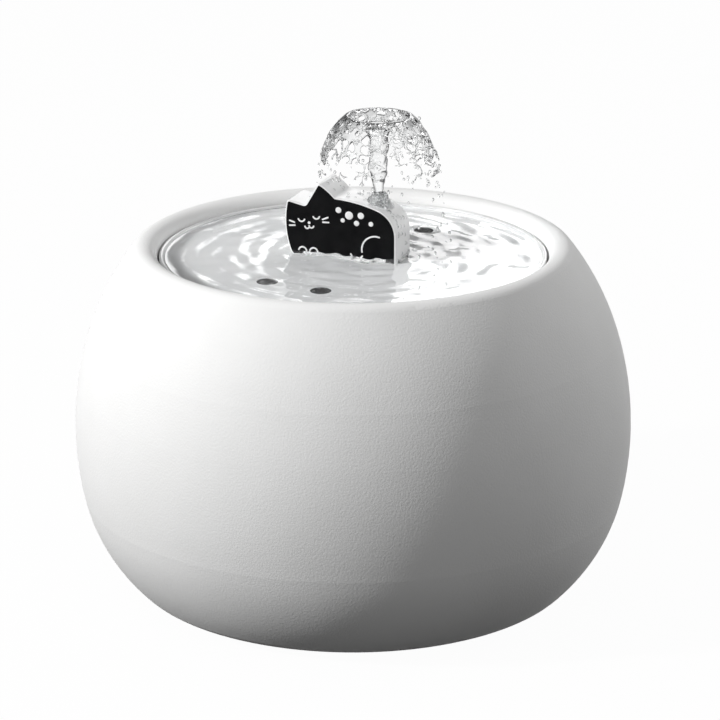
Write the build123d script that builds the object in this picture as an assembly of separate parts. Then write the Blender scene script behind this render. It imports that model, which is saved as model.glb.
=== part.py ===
from build123d import *
import math
import os

# A ceramic pet water fountain: a globular bowl with a rolled lip, a lift-out tray with drain
# holes, a cat figure that carries the spout, and a small magnetic-drive pump with its filter.
# Millimetres, +Z up. The origin is on the table under the middle of the bowl, and -Y is the
# front. The jet stands off-centre at (JET_X, 0).

# ---- Bowl --------------------------------------------------------------------------------
FOOT_PROUD = 2.0            # the rubber feet hold the ceramic this far off the table
BASE_RADIUS = 72.2          # flat underside of the ceramic
BODY_ARCS = (               # (radius, turn in degrees) up the outside, each tangent to the last
    (11.75, 45.1),
    (63.05, 33.05),
    (114.9, 29.6),
    (97.7, 20.4),
)
LIP_RADIUS = 4.9            # the rolled lip ends pointing straight down into the mouth
BOWL_WALL = 6.5
INNER_TOP_TURN = 8.0        # how far the inner wall follows the last body arc
FOOT_RING_RADIUS = 52.0     # the underside is hollowed inside this radius
FOOT_RING_DEPTH = 2.0
LEDGE_RADIUS = 64.0         # clear mouth inside the ledge that carries the tray
LEDGE_THICKNESS = 7.0
FOOT_COUNT = 4
FOOT_RADIUS = 6.5
FOOT_CIRCLE = 62.0
FOOT_SOCKET = 1.0

# ---- Lead outlet through the back wall ---------------------------------------------------
OUTLET_Z = 84.0
OUTLET_HOLE_RADIUS = 4.6
OUTLET_BORE_RADIUS = 1.9
OUTLET_FLANGE_RADIUS = 7.4
OUTLET_FLANGE = 1.4
OUTLET_FACE_Y = 94.0        # the flat spot face that the flange sits on
OUTLET_INNER_Y = 87.0

# ---- Tray --------------------------------------------------------------------------------
TRAY_BELOW_LIP = 6.9        # tray floor below the top of the lip
TRAY_THICKNESS = 5.0
TRAY_RIM_HEIGHT = 3.2
TRAY_RIM_WIDTH = 1.5
TRAY_GAP = 0.6              # seam between the tray and the bowl
TRAY_EDGE = 1.0
SEAL_THICKNESS = 1.5
SEAL_WIDTH = 4.5
DRAIN_RADIUS = 3.7
DRAIN_CIRCLE = 42.8
DRAIN_ANGLES = (226.0, 255.0, 53.0, 82.0)

# ---- Jet line, spout fitting and riser ---------------------------------------------------
JET_X = 9.0
WATERWAY_RADIUS = 4.0
SPIGOT_RADIUS = 5.2
SPIGOT_HEIGHT = 8.0
FITTING_FLANGE_RADIUS = 10.0
FITTING_FLANGE = 1.5
FITTING_TUBE_RADIUS = 6.5
FITTING_TUBE_LENGTH = 31.0
NUT_RADIUS = 11.5
NUT_HEIGHT = 5.0
NUT_GRIPS = 12
NUT_GRIP_RADIUS = 1.3
WASHER_THICKNESS = 1.2
RISER_RADIUS = 5.0
RISER_BORE = 3.9
RISER_INSERT = 10.0
RISER_FOOT_Z = 51.0

# ---- Clearances --------------------------------------------------------------------------
LOOSE_FIT = 0.3             # pieces that lift or slide apart
RUNNING_FIT = 0.05          # shafts and O-rings
FLAT_GAP = 0.2              # flat faces that part

# ---- Filter cartridge --------------------------------------------------------------------
FILTER_RADIUS = 52.0
FILTER_HEIGHT = 16.0
FILTER_WALL = 1.6
FILTER_SLOTS = 20
FILTER_SLOT = (25.0, 2.4)
FILTER_SLOT_CIRCLE = 34.0
COTTON_THICKNESS = 4.0
ORING_SECTION = 1.2
ORING_SEAT_RADIUS = 5.6

# ---- Cat figure --------------------------------------------------------------------------
FIGURE_THICKNESS = 15.3
FIGURE_TURN = -20.0         # the printed face looks a little to the left of the front
FIGURE_JET_ALONG = 30.2     # from the figure's left foot to the jet, along the face
FIGURE_SET_BACK = 0.8       # its middle stands this far behind the jet
FIGURE_BACK_HEIGHT = 21.4   # of its back where the jet leaves it
FIGURE_ROUND = 0.45
CORNER_ROUND = 1.1
FACE_MARGIN = 0.1
FACE_DEPTH = 0.5
NOZZLE_RADIUS = 3.0
NOZZLE_TIP_RADIUS = 2.5
NOZZLE_BORE = 1.8
NOZZLE_SEAT = 12.0
NOZZLE_COLLAR = 8.0
NOZZLE_PROUD = 3.6

# ---- Water bell above the nozzle ---------------------------------------------------------
JET_COLUMN_RADIUS = 3.3
JET_FOOT_RADIUS = 2.4
JET_COLUMN_TOP_Z = 166.0
BELL_RIM = (11.4, 174.4)    # each point of the bell is (radius, height)
BELL_SHOULDER = (17.3, 167.2)
BELL_SKIRT = (21.7, 157.4)
BELL_DISH = (6.0, 171.9)
BELL_DISH_Z = 170.6
BELL_THICKNESS = 1.0

# ---- Pump --------------------------------------------------------------------------------
VOLUTE_OFFSET = 8.0         # the outlet leaves the volute at a tangent
AXIS_Z = 33.0
PUMP_HALF_WIDTH = 18.0
PUMP_BOTTOM_Z = 14.5
PUMP_TOP_Z = 49.5
PUMP_ROUND = 6.0
PUMP_WALL = 2.0
MOTOR_FRONT_Y = 6.0
MOTOR_BACK_Y = 42.0
WELL_RADIUS = 8.0
WELL_WALL = 1.2
WELL_STEP_Y = 31.4
WELL_END_Y = 32.8
MAGNET_RADIUS = 6.6
MAGNET_Y = (11.0, 30.8)
SHAFT_RADIUS = 1.0
REAR_BUSH_RADIUS = 4.0
STACK_Y = (14.0, 27.0)
POLE_HALF_WIDTH = 14.0
POLE_TOP_Z = 43.0
YOKE_Z = (18.3, 21.7)
COIL_HALF_WIDTH = 8.5
COIL_BUILD = 1.5
CHAMBER_RADIUS = 11.0
CHAMBER_FRONT_Y = -5.5
VOLUTE_WALL = 2.0
VOLUTE_FRONT_Y = -8.0
EYE_RADIUS = 6.0
SPIDER_ARMS = 3
SPIDER_ARM = 1.6
FRONT_BUSH_RADIUS = 1.8
FRONT_BOSS_RADIUS = 3.0
OUTLET_PIPE_RADIUS = 3.6
OUTLET_PIPE_BORE = 2.6
OUTLET_PIPE_TOP_Z = 59.0
SEAL_GROOVE = 1.0
SEAL_GROOVE_RADIUS = 11.6
IMPELLER_RADIUS = 9.8
IMPELLER_BLADES = 6
IMPELLER_HUB = 3.0
BLADE_THICKNESS = 1.1
BLADE_CURVE = 8.0
BLADE_SWEEP = 2.6
BLADE_FRONT_Y = -4.8
DISC_Y = (4.4, 5.7)

# ---- Intake cover, sponge and flow dial --------------------------------------------------
INTAKE_FRONT_Y = -24.0
INTAKE_WALL = 1.6
GRILLE_SLOTS = 4
GRILLE_SLOT = (1.8, 20.0)
GRILLE_PITCH = 3.4
GRILLE_FIRST_Y = -20.0
SPONGE_Y = (-20.4, -9.0)
DIAL_RADIUS = 11.5
DIAL_THICKNESS = 2.0
DIAL_PIN_RADIUS = 1.6
DIAL_HEAD_RADIUS = 2.4
DIAL_HEAD = 1.0
DIAL_FIN = (2.4, 19.0, 3.0)
WINDOW_RADII = (5.2, 8.8)
WINDOW_ANGLE = 44.0
WINDOW_COUNT = 3

# ---- Suction cups and motor lead gland ---------------------------------------------------
CUP_RADIUS = 6.5
CUP_NECK_RADIUS = 3.0
CUP_NECK = 1.5
CUP_LIP = 0.8
CUP_HOLLOW = 1.0
CUP_SOCKET = 1.0
CUP_X = 11.0
CUP_Y = (11.0, 35.0)
GLAND_RADIUS = 3.4
GLAND_LENGTH = 8.0
GLAND_Z = 23.0


# ---- Shared shapes -----------------------------------------------------------------------
def arc_chain(start, arcs):
    """Arcs that run on tangent to each other from start, setting off along +X."""
    heading = (1, 0)
    chain = []
    for radius, turn in arcs:
        arc = JernArc(start, heading, radius, turn)
        chain.append(arc)
        start = arc @ 1
        heading = arc % 1
    return chain


def closed_face(*lines):
    """The flat face inside the lines, which meet end to end."""
    edges = []
    for line in lines:
        edges.extend(line.edges())
    return make_face(edges)


def turned(*lines):
    """A solid turned about Z from an outline drawn as (radius, height)."""
    return revolve(Plane.XZ * closed_face(*lines), Axis.Z)


def upright(radius, bottom, top, x=0.0, y=0.0):
    """A cylinder that stands along Z."""
    height = top - bottom
    return Pos(x, y, bottom + height / 2) * Cylinder(radius, height)


def lying(radius, front, back, x, z):
    """A cylinder that lies along Y."""
    length = back - front
    return Pos(x, front + length / 2, z) * Rot(90, 0, 0) * Cylinder(radius, length)


def block(x_span, y_span, z_span):
    """A box given by its low and high faces."""
    spans = (x_span, y_span, z_span)
    size = [high - low for low, high in spans]
    middle = [(high + low) / 2 for low, high in spans]
    return Pos(*middle) * Box(*size)


def rounded_block(half_width, bottom, top, front, back, corner):
    """A pump-shaped box whose four long edges, along Y, are rounded."""
    section = RectangleRounded(2 * half_width, top - bottom, corner)
    placed = Plane.XZ.offset(-front) * (Pos(AXIS_X, (bottom + top) / 2) * section)
    return extrude(placed, -(back - front))


# ---- Levels worked out from the driving dimensions ---------------------------------------
body_arcs = arc_chain((BASE_RADIUS, FOOT_PROUD), BODY_ARCS)
body_turn = sum(turn for radius, turn in BODY_ARCS)
lip = JernArc(body_arcs[-1] @ 1, body_arcs[-1] % 1, LIP_RADIUS, 270.0 - body_turn)
MOUTH_RADIUS = (lip @ 1).X
LIP_Z = (lip @ 1).Y + LIP_RADIUS
FLOOR_Z = FOOT_PROUD + BOWL_WALL
TRAY_FLOOR_Z = LIP_Z - TRAY_BELOW_LIP
TRAY_UNDER_Z = TRAY_FLOOR_Z - TRAY_THICKNESS
TRAY_RADIUS = MOUTH_RADIUS - TRAY_GAP
LEDGE_Z = TRAY_UNDER_Z - SEAL_THICKNESS
AXIS_X = JET_X - VOLUTE_OFFSET
FITTING_FLANGE_Z = TRAY_FLOOR_Z - FITTING_FLANGE - FLAT_GAP / 2
FITTING_FOOT_Z = FITTING_FLANGE_Z - FITTING_TUBE_LENGTH
WASHER_Z = TRAY_UNDER_Z - WASHER_THICKNESS
NUT_Z = WASHER_Z - NUT_HEIGHT
FILTER_TOP_Z = NUT_Z - 2 * FLAT_GAP
FILTER_FOOT_Z = FILTER_TOP_Z - FILTER_HEIGHT
HUB_BORE = FITTING_TUBE_RADIUS + LOOSE_FIT
HUB_RADIUS = HUB_BORE + FILTER_WALL


# ---- Bowl --------------------------------------------------------------------------------
def make_bowl():
    inner_start = (BASE_RADIUS, FLOOR_Z)
    inner_arcs = [(radius - BOWL_WALL, turn) for radius, turn in BODY_ARCS[:-1]]
    inner_arcs.append((BODY_ARCS[-1][0] - BOWL_WALL, INNER_TOP_TURN))
    inner_wall = arc_chain(inner_start, inner_arcs)
    hollow_z = FOOT_PROUD + FOOT_RING_DEPTH
    underside = Polyline(
        (0, FLOOR_Z),
        (0, hollow_z),
        (FOOT_RING_RADIUS - FOOT_RING_DEPTH, hollow_z),
        (FOOT_RING_RADIUS, FOOT_PROUD),
        (BASE_RADIUS, FOOT_PROUD),
    )
    gallery = Polyline(
        lip @ 1,
        (MOUTH_RADIUS, LEDGE_Z),
        (LEDGE_RADIUS, LEDGE_Z),
        (LEDGE_RADIUS, LEDGE_Z - LEDGE_THICKNESS),
        inner_wall[-1] @ 1,
    )
    floor = Line(inner_start, (0, FLOOR_Z))
    bowl = turned(underside, *body_arcs, lip, gallery, *inner_wall, floor)
    for place in PolarLocations(FOOT_CIRCLE, FOOT_COUNT, 45.0):
        bowl -= place * upright(FOOT_RADIUS, 0, FOOT_PROUD + FOOT_SOCKET)
    bowl -= lying(OUTLET_HOLE_RADIUS, OUTLET_INNER_Y - BOWL_WALL, OUTLET_FACE_Y, 0, OUTLET_Z)
    bowl -= lying(OUTLET_FLANGE_RADIUS, OUTLET_FACE_Y, OUTLET_FACE_Y + BOWL_WALL, 0, OUTLET_Z)
    return bowl


def make_foot_pads():
    pads = []
    for place in PolarLocations(FOOT_CIRCLE, FOOT_COUNT, 45.0):
        pad = upright(FOOT_RADIUS, 0, FOOT_PROUD + FOOT_SOCKET)
        rim = pad.edges().sort_by(Axis.Z)[0]
        pads.append(place * chamfer(rim, FOOT_PROUD / 4))
    return Compound(children=pads)


def make_lead_grommet():
    sleeve = lying(OUTLET_HOLE_RADIUS, OUTLET_INNER_Y, OUTLET_FACE_Y, 0, OUTLET_Z)
    flange_back = OUTLET_FACE_Y + OUTLET_FLANGE
    flange = lying(OUTLET_FLANGE_RADIUS, OUTLET_FACE_Y, flange_back, 0, OUTLET_Z)
    bore = lying(OUTLET_BORE_RADIUS, OUTLET_INNER_Y, flange_back, 0, OUTLET_Z)
    return sleeve + flange - bore


# ---- Tray --------------------------------------------------------------------------------
def make_tray():
    rim_z = TRAY_FLOOR_Z + TRAY_RIM_HEIGHT
    rim_inner = TRAY_RADIUS - TRAY_RIM_WIDTH
    outline = Polyline(
        (0, TRAY_UNDER_Z),
        (TRAY_RADIUS - TRAY_EDGE, TRAY_UNDER_Z),
        (TRAY_RADIUS, TRAY_UNDER_Z + TRAY_EDGE),
        (TRAY_RADIUS, rim_z - TRAY_RIM_WIDTH / 2),
    )
    rim_top = ThreePointArc(
        (TRAY_RADIUS, rim_z - TRAY_RIM_WIDTH / 2),
        (TRAY_RADIUS - TRAY_RIM_WIDTH / 2, rim_z),
        (rim_inner, rim_z - TRAY_RIM_WIDTH / 2),
    )
    cove_foot = (rim_inner - TRAY_RIM_HEIGHT, TRAY_FLOOR_Z)
    cove = RadiusArc(rim_top @ 1, cove_foot, TRAY_RIM_HEIGHT)
    floor = Polyline(cove_foot, (0, TRAY_FLOOR_Z), (0, TRAY_UNDER_Z))
    tray = turned(outline, rim_top, cove, floor)
    for angle in DRAIN_ANGLES:
        drain = Rot(0, 0, angle) * Pos(DRAIN_CIRCLE, 0, 0)
        tray -= drain * upright(DRAIN_RADIUS, TRAY_UNDER_Z, TRAY_FLOOR_Z)
    tray -= upright(FITTING_FLANGE_RADIUS + LOOSE_FIT, FITTING_FLANGE_Z, TRAY_FLOOR_Z, JET_X)
    tray -= upright(FITTING_TUBE_RADIUS + LOOSE_FIT, TRAY_UNDER_Z, TRAY_FLOOR_Z, JET_X)
    return tray


def make_tray_seal():
    outer = upright(LEDGE_RADIUS + SEAL_WIDTH, LEDGE_Z, TRAY_UNDER_Z)
    return outer - upright(LEDGE_RADIUS + LOOSE_FIT, LEDGE_Z, TRAY_UNDER_Z)


# ---- Spout fitting through the tray ------------------------------------------------------
def make_spout_fitting():
    flange_top = FITTING_FLANGE_Z + FITTING_FLANGE
    fitting = upright(SPIGOT_RADIUS, flange_top, flange_top + SPIGOT_HEIGHT, JET_X)
    fitting += upright(FITTING_FLANGE_RADIUS, FITTING_FLANGE_Z, flange_top, JET_X)
    fitting += upright(FITTING_TUBE_RADIUS, FITTING_FOOT_Z, FITTING_FLANGE_Z, JET_X)
    fitting -= upright(WATERWAY_RADIUS, FITTING_FOOT_Z, flange_top + SPIGOT_HEIGHT, JET_X)
    fitting -= upright(RISER_RADIUS, FITTING_FOOT_Z, FITTING_FOOT_Z + RISER_INSERT, JET_X)
    bottom = groove_middle_z() - ORING_SECTION / 2
    groove = upright(FITTING_TUBE_RADIUS, bottom, bottom + ORING_SECTION, JET_X)
    groove -= upright(ORING_SEAT_RADIUS, bottom, bottom + ORING_SECTION, JET_X)
    return fitting - groove


def groove_middle_z():
    return FILTER_FOOT_Z + FILTER_HEIGHT / 2


def make_filter_oring():
    """A square-section ring in the tube's groove, which grips the cartridge's hub."""
    bottom = groove_middle_z() - ORING_SECTION / 2
    ring = upright(HUB_BORE - RUNNING_FIT, bottom, bottom + ORING_SECTION, JET_X)
    return ring - upright(ORING_SEAT_RADIUS, bottom, bottom + ORING_SECTION, JET_X)


def make_fitting_washer():
    washer = upright(NUT_RADIUS, WASHER_Z, TRAY_UNDER_Z, JET_X)
    return washer - upright(FITTING_TUBE_RADIUS, WASHER_Z, TRAY_UNDER_Z, JET_X)


def make_fitting_nut():
    nut = upright(NUT_RADIUS, NUT_Z, WASHER_Z, JET_X)
    nut -= upright(FITTING_TUBE_RADIUS, NUT_Z, WASHER_Z, JET_X)
    for place in PolarLocations(NUT_RADIUS, NUT_GRIPS):
        nut -= Pos(JET_X, 0, 0) * place * upright(NUT_GRIP_RADIUS, NUT_Z, WASHER_Z)
    return nut


def make_riser_tube():
    top = FITTING_FOOT_Z + RISER_INSERT
    tube = upright(RISER_RADIUS, RISER_FOOT_Z, top, JET_X)
    return tube - upright(RISER_BORE, RISER_FOOT_Z, top, JET_X)


# ---- Filter cartridge --------------------------------------------------------------------
def slotted(disc, bottom, top):
    """The disc with a ring of radial slots right through it."""
    length, width = FILTER_SLOT
    slot = extrude(SlotOverall(length, width), top - bottom)
    for place in PolarLocations(FILTER_SLOT_CIRCLE, FILTER_SLOTS):
        disc -= Pos(0, 0, bottom) * place * slot
    return disc


def make_filter_case():
    floor_top = FILTER_FOOT_Z + FILTER_WALL
    case = upright(FILTER_RADIUS, FILTER_FOOT_Z, FILTER_TOP_Z)
    case -= upright(FILTER_RADIUS - FILTER_WALL, floor_top, FILTER_TOP_Z)
    case += upright(HUB_RADIUS, FILTER_FOOT_Z, FILTER_TOP_Z, JET_X)
    case -= upright(HUB_BORE, FILTER_FOOT_Z, FILTER_TOP_Z, JET_X)
    return slotted(case, FILTER_FOOT_Z, floor_top)


def filter_layer(bottom, top):
    """A disc that fills the case round its hub."""
    layer = upright(FILTER_RADIUS - FILTER_WALL, bottom, top)
    return layer - upright(HUB_RADIUS, bottom, top, JET_X)


def make_filter_lid():
    bottom = FILTER_TOP_Z - FILTER_WALL
    return slotted(filter_layer(bottom, FILTER_TOP_Z), bottom, FILTER_TOP_Z)


def make_filter_cotton():
    top = FILTER_TOP_Z - FILTER_WALL
    return filter_layer(top - COTTON_THICKNESS, top)


def make_filter_carbon():
    top = FILTER_TOP_Z - FILTER_WALL - COTTON_THICKNESS
    return filter_layer(FILTER_FOOT_Z + FILTER_WALL, top)


# ---- Cat figure --------------------------------------------------------------------------
turn = math.radians(FIGURE_TURN)
ALONG = Vector(math.cos(turn), math.sin(turn), 0)
TOWARDS_VIEWER = Vector(math.sin(turn), -math.cos(turn), 0)
left_foot = Vector(JET_X, 0, TRAY_FLOOR_Z) - ALONG * FIGURE_JET_ALONG
left_foot += TOWARDS_VIEWER * (FIGURE_THICKNESS / 2 - FIGURE_SET_BACK)
FACE_PLANE = Plane(origin=left_foot, x_dir=ALONG, z_dir=TOWARDS_VIEWER)


def cat_outline():
    """A resting cat seen from its side, drawn as (along, up) from its left foot."""
    foot_left = (0.4, 0)
    ear_left = (-1.9, 21.4)
    brow = (5.0, 19.9)
    ear_right = (9.9, 28.4)
    nape = (16.3, 23.6)
    rump = (32.4, 20.5)
    tail = (39.1, 10.9)
    foot_right = (39.1, 0)
    cheek = ThreePointArc(foot_left, (-2.4, 9.0), ear_left)
    ear_inner = Line(ear_left, brow)
    ear_front = Line(brow, ear_right)
    neck = RadiusArc(ear_right, nape, 22.0)
    back = ThreePointArc(nape, (25.4, 22.5), rump)
    haunch = TangentArc(rump, tail, tangent=back % 1)
    heel = Line(tail, foot_right)
    sole = Line(foot_right, foot_left)
    outline = closed_face(cheek, ear_inner, ear_front, neck, back, haunch, heel, sole)
    corners = outline.vertices().filter_by_position(Axis.Y, CORNER_ROUND, ear_right[1])
    left_to_right = corners.sort_by(Axis.X)
    return fillet(left_to_right[:-2], CORNER_ROUND)     # the haunch's two joints stay as they are


def make_cat_figure():
    slab = extrude(FACE_PLANE * cat_outline(), -FIGURE_THICKNESS)
    outlines = slab.faces().filter_by(FACE_PLANE).edges()
    above_sole = outlines.filter_by_position(Axis.Z, TRAY_FLOOR_Z + CORNER_ROUND, BELL_DISH_Z)
    slab = fillet(above_sole, FIGURE_ROUND)
    slab -= make_cat_face()
    socket_top = TRAY_FLOOR_Z + SPIGOT_HEIGHT + LOOSE_FIT
    slab -= upright(SPIGOT_RADIUS + LOOSE_FIT, TRAY_FLOOR_Z, socket_top, JET_X)
    return slab - upright(WATERWAY_RADIUS, TRAY_FLOOR_Z, BELL_DISH_Z, JET_X)


def make_cat_face():
    """The thin dark glazed panel let into the figure's front."""
    return extrude(FACE_PLANE * offset(cat_outline(), -FACE_MARGIN - FIGURE_ROUND), -FACE_DEPTH)


# ---- Water nozzle and water bell ---------------------------------------------------------
NOZZLE_HOLE_Z = TRAY_FLOOR_Z + FIGURE_BACK_HEIGHT
NOZZLE_TIP_Z = NOZZLE_HOLE_Z + NOZZLE_PROUD


def make_water_nozzle():
    seat = NOZZLE_HOLE_Z - NOZZLE_SEAT
    collar = upright(WATERWAY_RADIUS, seat, seat + NOZZLE_COLLAR, JET_X)
    stem = upright(NOZZLE_RADIUS, seat + NOZZLE_COLLAR, NOZZLE_HOLE_Z, JET_X)
    tip_middle = (NOZZLE_HOLE_Z + NOZZLE_TIP_Z) / 2
    tip = Pos(JET_X, 0, tip_middle) * Cone(NOZZLE_RADIUS, NOZZLE_TIP_RADIUS, NOZZLE_PROUD)
    return collar + stem + tip - upright(NOZZLE_BORE, seat, NOZZLE_TIP_Z, JET_X)


def make_water_jet():
    """The column that leaves the nozzle and the bell that it opens into."""
    column_top = (JET_COLUMN_RADIUS, JET_COLUMN_TOP_Z)
    under_rim = (BELL_RIM[0] - BELL_THICKNESS, BELL_RIM[1] - 2 * BELL_THICKNESS)
    shoulder_inner = (BELL_SHOULDER[0] - BELL_THICKNESS, BELL_SHOULDER[1] - BELL_THICKNESS / 2)
    skirt_inner = (BELL_SKIRT[0] - BELL_THICKNESS, BELL_SKIRT[1])
    foot = Line((0, NOZZLE_TIP_Z), (JET_FOOT_RADIUS, NOZZLE_TIP_Z))
    column = Line((JET_FOOT_RADIUS, NOZZLE_TIP_Z), column_top)
    flare = TangentArc(column_top, under_rim, tangent=(0, 1))
    inside = ThreePointArc(under_rim, shoulder_inner, skirt_inner)
    hem = Line(skirt_inner, BELL_SKIRT)
    skirt = ThreePointArc(BELL_SKIRT, BELL_SHOULDER, BELL_RIM)
    dish_floor = (JET_FOOT_RADIUS, BELL_DISH_Z)
    dish = ThreePointArc(BELL_RIM, BELL_DISH, dish_floor)
    core = Polyline(dish_floor, (0, BELL_DISH_Z), (0, NOZZLE_TIP_Z))
    return Pos(JET_X, 0, 0) * turned(foot, column, flare, inside, hem, skirt, dish, core)


# ---- Pump motor --------------------------------------------------------------------------
CAVITY_FRONT_Y = MOTOR_FRONT_Y + PUMP_WALL
CAP_FRONT_Y = MOTOR_BACK_Y - PUMP_WALL


def motor_section(inset, front, back):
    """The motor's rounded section between two planes, inset from its outside."""
    half_width = PUMP_HALF_WIDTH - inset
    bottom = PUMP_BOTTOM_Z + inset
    top = PUMP_TOP_Z - inset
    return rounded_block(half_width, bottom, top, front, back, PUMP_ROUND - inset)


def rotor_well():
    """The tube, closed behind, that keeps water off the windings."""
    return lying(WELL_RADIUS + WELL_WALL, MOTOR_FRONT_Y, WELL_END_Y + WELL_WALL, AXIS_X, AXIS_Z)


def cup_places():
    return [(AXIS_X + side * CUP_X, y) for side in (-1, 1) for y in CUP_Y]


def make_pump_body():
    body = motor_section(0, MOTOR_FRONT_Y, MOTOR_BACK_Y)
    body -= motor_section(PUMP_WALL, CAVITY_FRONT_Y, MOTOR_BACK_Y)
    body += rotor_well()
    body -= lying(WELL_RADIUS, MOTOR_FRONT_Y, WELL_STEP_Y, AXIS_X, AXIS_Z)
    body -= lying(REAR_BUSH_RADIUS, WELL_STEP_Y, WELL_END_Y, AXIS_X, AXIS_Z)
    for x, y in cup_places():
        body -= upright(CUP_NECK_RADIUS, PUMP_BOTTOM_Z, PUMP_BOTTOM_Z + CUP_SOCKET, x, y)
    return body


def make_motor_cap():
    cap = motor_section(PUMP_WALL, CAP_FRONT_Y, MOTOR_BACK_Y)
    return cap - lying(GLAND_RADIUS, CAP_FRONT_Y, MOTOR_BACK_Y, AXIS_X, GLAND_Z)


def make_lead_gland():
    back = CAP_FRONT_Y + GLAND_LENGTH
    gland = lying(GLAND_RADIUS, CAP_FRONT_Y, back, AXIS_X, GLAND_Z)
    return gland - lying(OUTLET_BORE_RADIUS, CAP_FRONT_Y + PUMP_WALL / 2, back, AXIS_X, GLAND_Z)


def make_stator_core():
    """A laminated C: two poles that hug the rotor well, joined by the yoke below it."""
    low, high = YOKE_Z
    core = block((AXIS_X - POLE_HALF_WIDTH, AXIS_X + POLE_HALF_WIDTH), STACK_Y, (low, POLE_TOP_Z))
    core -= lying(WELL_RADIUS + WELL_WALL + RUNNING_FIT, *STACK_Y, AXIS_X, AXIS_Z)
    neck = WELL_RADIUS / 2
    core -= block((AXIS_X - neck, AXIS_X + neck), STACK_Y, (AXIS_Z, POLE_TOP_Z))
    window = COIL_HALF_WIDTH + RUNNING_FIT
    core -= block((AXIS_X - window, AXIS_X + window), STACK_Y, (high, AXIS_Z - WELL_RADIUS / 2))
    return core


def coil_envelope():
    low, high = YOKE_Z
    front, back = STACK_Y
    x_span = (AXIS_X - COIL_HALF_WIDTH, AXIS_X + COIL_HALF_WIDTH)
    y_span = (front - 2 * COIL_BUILD, back + 2 * COIL_BUILD)
    coil = block(x_span, y_span, (low - COIL_BUILD, high + COIL_BUILD))
    return fillet(coil.edges().filter_by(Axis.X), COIL_BUILD)


def make_stator_coil():
    low, high = YOKE_Z
    x_span = (AXIS_X - COIL_HALF_WIDTH, AXIS_X + COIL_HALF_WIDTH)
    return coil_envelope() - block(x_span, STACK_Y, (low, high))


def make_motor_potting():
    potting = motor_section(PUMP_WALL, CAVITY_FRONT_Y, CAP_FRONT_Y)
    potting -= rotor_well()
    potting -= coil_envelope()
    return potting - make_stator_core()


# ---- Rotor -------------------------------------------------------------------------------
def make_rotor_magnet():
    magnet = lying(MAGNET_RADIUS, *MAGNET_Y, AXIS_X, AXIS_Z)
    return magnet - lying(SHAFT_RADIUS + RUNNING_FIT, *MAGNET_Y, AXIS_X, AXIS_Z)


def impeller_blade():
    """One swept blade, drawn flat, that curves from the hub out to the rim."""
    start = (IMPELLER_HUB - BLADE_THICKNESS / 2, 0)
    tip = (IMPELLER_RADIUS - BLADE_THICKNESS, -BLADE_SWEEP)
    trailing = (tip[0] - BLADE_THICKNESS / 4, tip[1] - BLADE_THICKNESS)
    pressure = RadiusArc(start, tip, BLADE_CURVE)
    suction = RadiusArc(trailing, (start[0], -BLADE_THICKNESS), -BLADE_CURVE)
    end = Line(tip, suction @ 0)
    root = Line(suction @ 1, start)
    return closed_face(pressure, end, suction, root)


def make_impeller():
    wheel = lying(IMPELLER_RADIUS, *DISC_Y, AXIS_X, AXIS_Z)
    wheel += lying(IMPELLER_HUB, BLADE_FRONT_Y, MAGNET_Y[0], AXIS_X, AXIS_Z)
    flat = Plane(origin=(AXIS_X, DISC_Y[0], AXIS_Z), x_dir=(1, 0, 0), z_dir=(0, -1, 0))
    height = DISC_Y[0] - BLADE_FRONT_Y
    for count in range(IMPELLER_BLADES):
        turned_blade = Rot(0, 0, count * 360 / IMPELLER_BLADES) * impeller_blade()
        wheel += extrude(flat * turned_blade, height)
    bore = lying(SHAFT_RADIUS + RUNNING_FIT, BLADE_FRONT_Y, MAGNET_Y[0], AXIS_X, AXIS_Z)
    return wheel - bore


def make_impeller_shaft():
    return lying(SHAFT_RADIUS, VOLUTE_FRONT_Y, WELL_END_Y, AXIS_X, AXIS_Z)


def make_rear_bush():
    bush = lying(REAR_BUSH_RADIUS, WELL_STEP_Y, WELL_END_Y, AXIS_X, AXIS_Z)
    return bush - lying(SHAFT_RADIUS, WELL_STEP_Y, WELL_END_Y, AXIS_X, AXIS_Z)


def make_front_bush():
    bush = lying(FRONT_BUSH_RADIUS, VOLUTE_FRONT_Y, CHAMBER_FRONT_Y, AXIS_X, AXIS_Z)
    return bush - lying(SHAFT_RADIUS, VOLUTE_FRONT_Y, CHAMBER_FRONT_Y, AXIS_X, AXIS_Z)


# ---- Volute ------------------------------------------------------------------------------
def make_volute_cover():
    outer = CHAMBER_RADIUS + VOLUTE_WALL
    cover = lying(outer, VOLUTE_FRONT_Y, MOTOR_FRONT_Y, AXIS_X, AXIS_Z)
    cover += upright(OUTLET_PIPE_RADIUS, AXIS_Z, OUTLET_PIPE_TOP_Z, JET_X)
    cover -= lying(CHAMBER_RADIUS, CHAMBER_FRONT_Y, MOTOR_FRONT_Y, AXIS_X, AXIS_Z)
    cover -= upright(OUTLET_PIPE_BORE, AXIS_Z, OUTLET_PIPE_TOP_Z, JET_X)
    cover -= lying(EYE_RADIUS, VOLUTE_FRONT_Y, CHAMBER_FRONT_Y, AXIS_X, AXIS_Z)
    cover += lying(FRONT_BOSS_RADIUS, VOLUTE_FRONT_Y, CHAMBER_FRONT_Y, AXIS_X, AXIS_Z)
    half_arm = SPIDER_ARM / 2
    reach = EYE_RADIUS + half_arm
    arm = block((0, reach), (VOLUTE_FRONT_Y, CHAMBER_FRONT_Y), (-half_arm, half_arm))
    for count in range(SPIDER_ARMS):
        cover += Pos(AXIS_X, 0, AXIS_Z) * Rot(0, 90 + count * 360 / SPIDER_ARMS, 0) * arm
    cover -= lying(FRONT_BUSH_RADIUS, VOLUTE_FRONT_Y, CHAMBER_FRONT_Y, AXIS_X, AXIS_Z)
    return cover - seal_ring()


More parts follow.
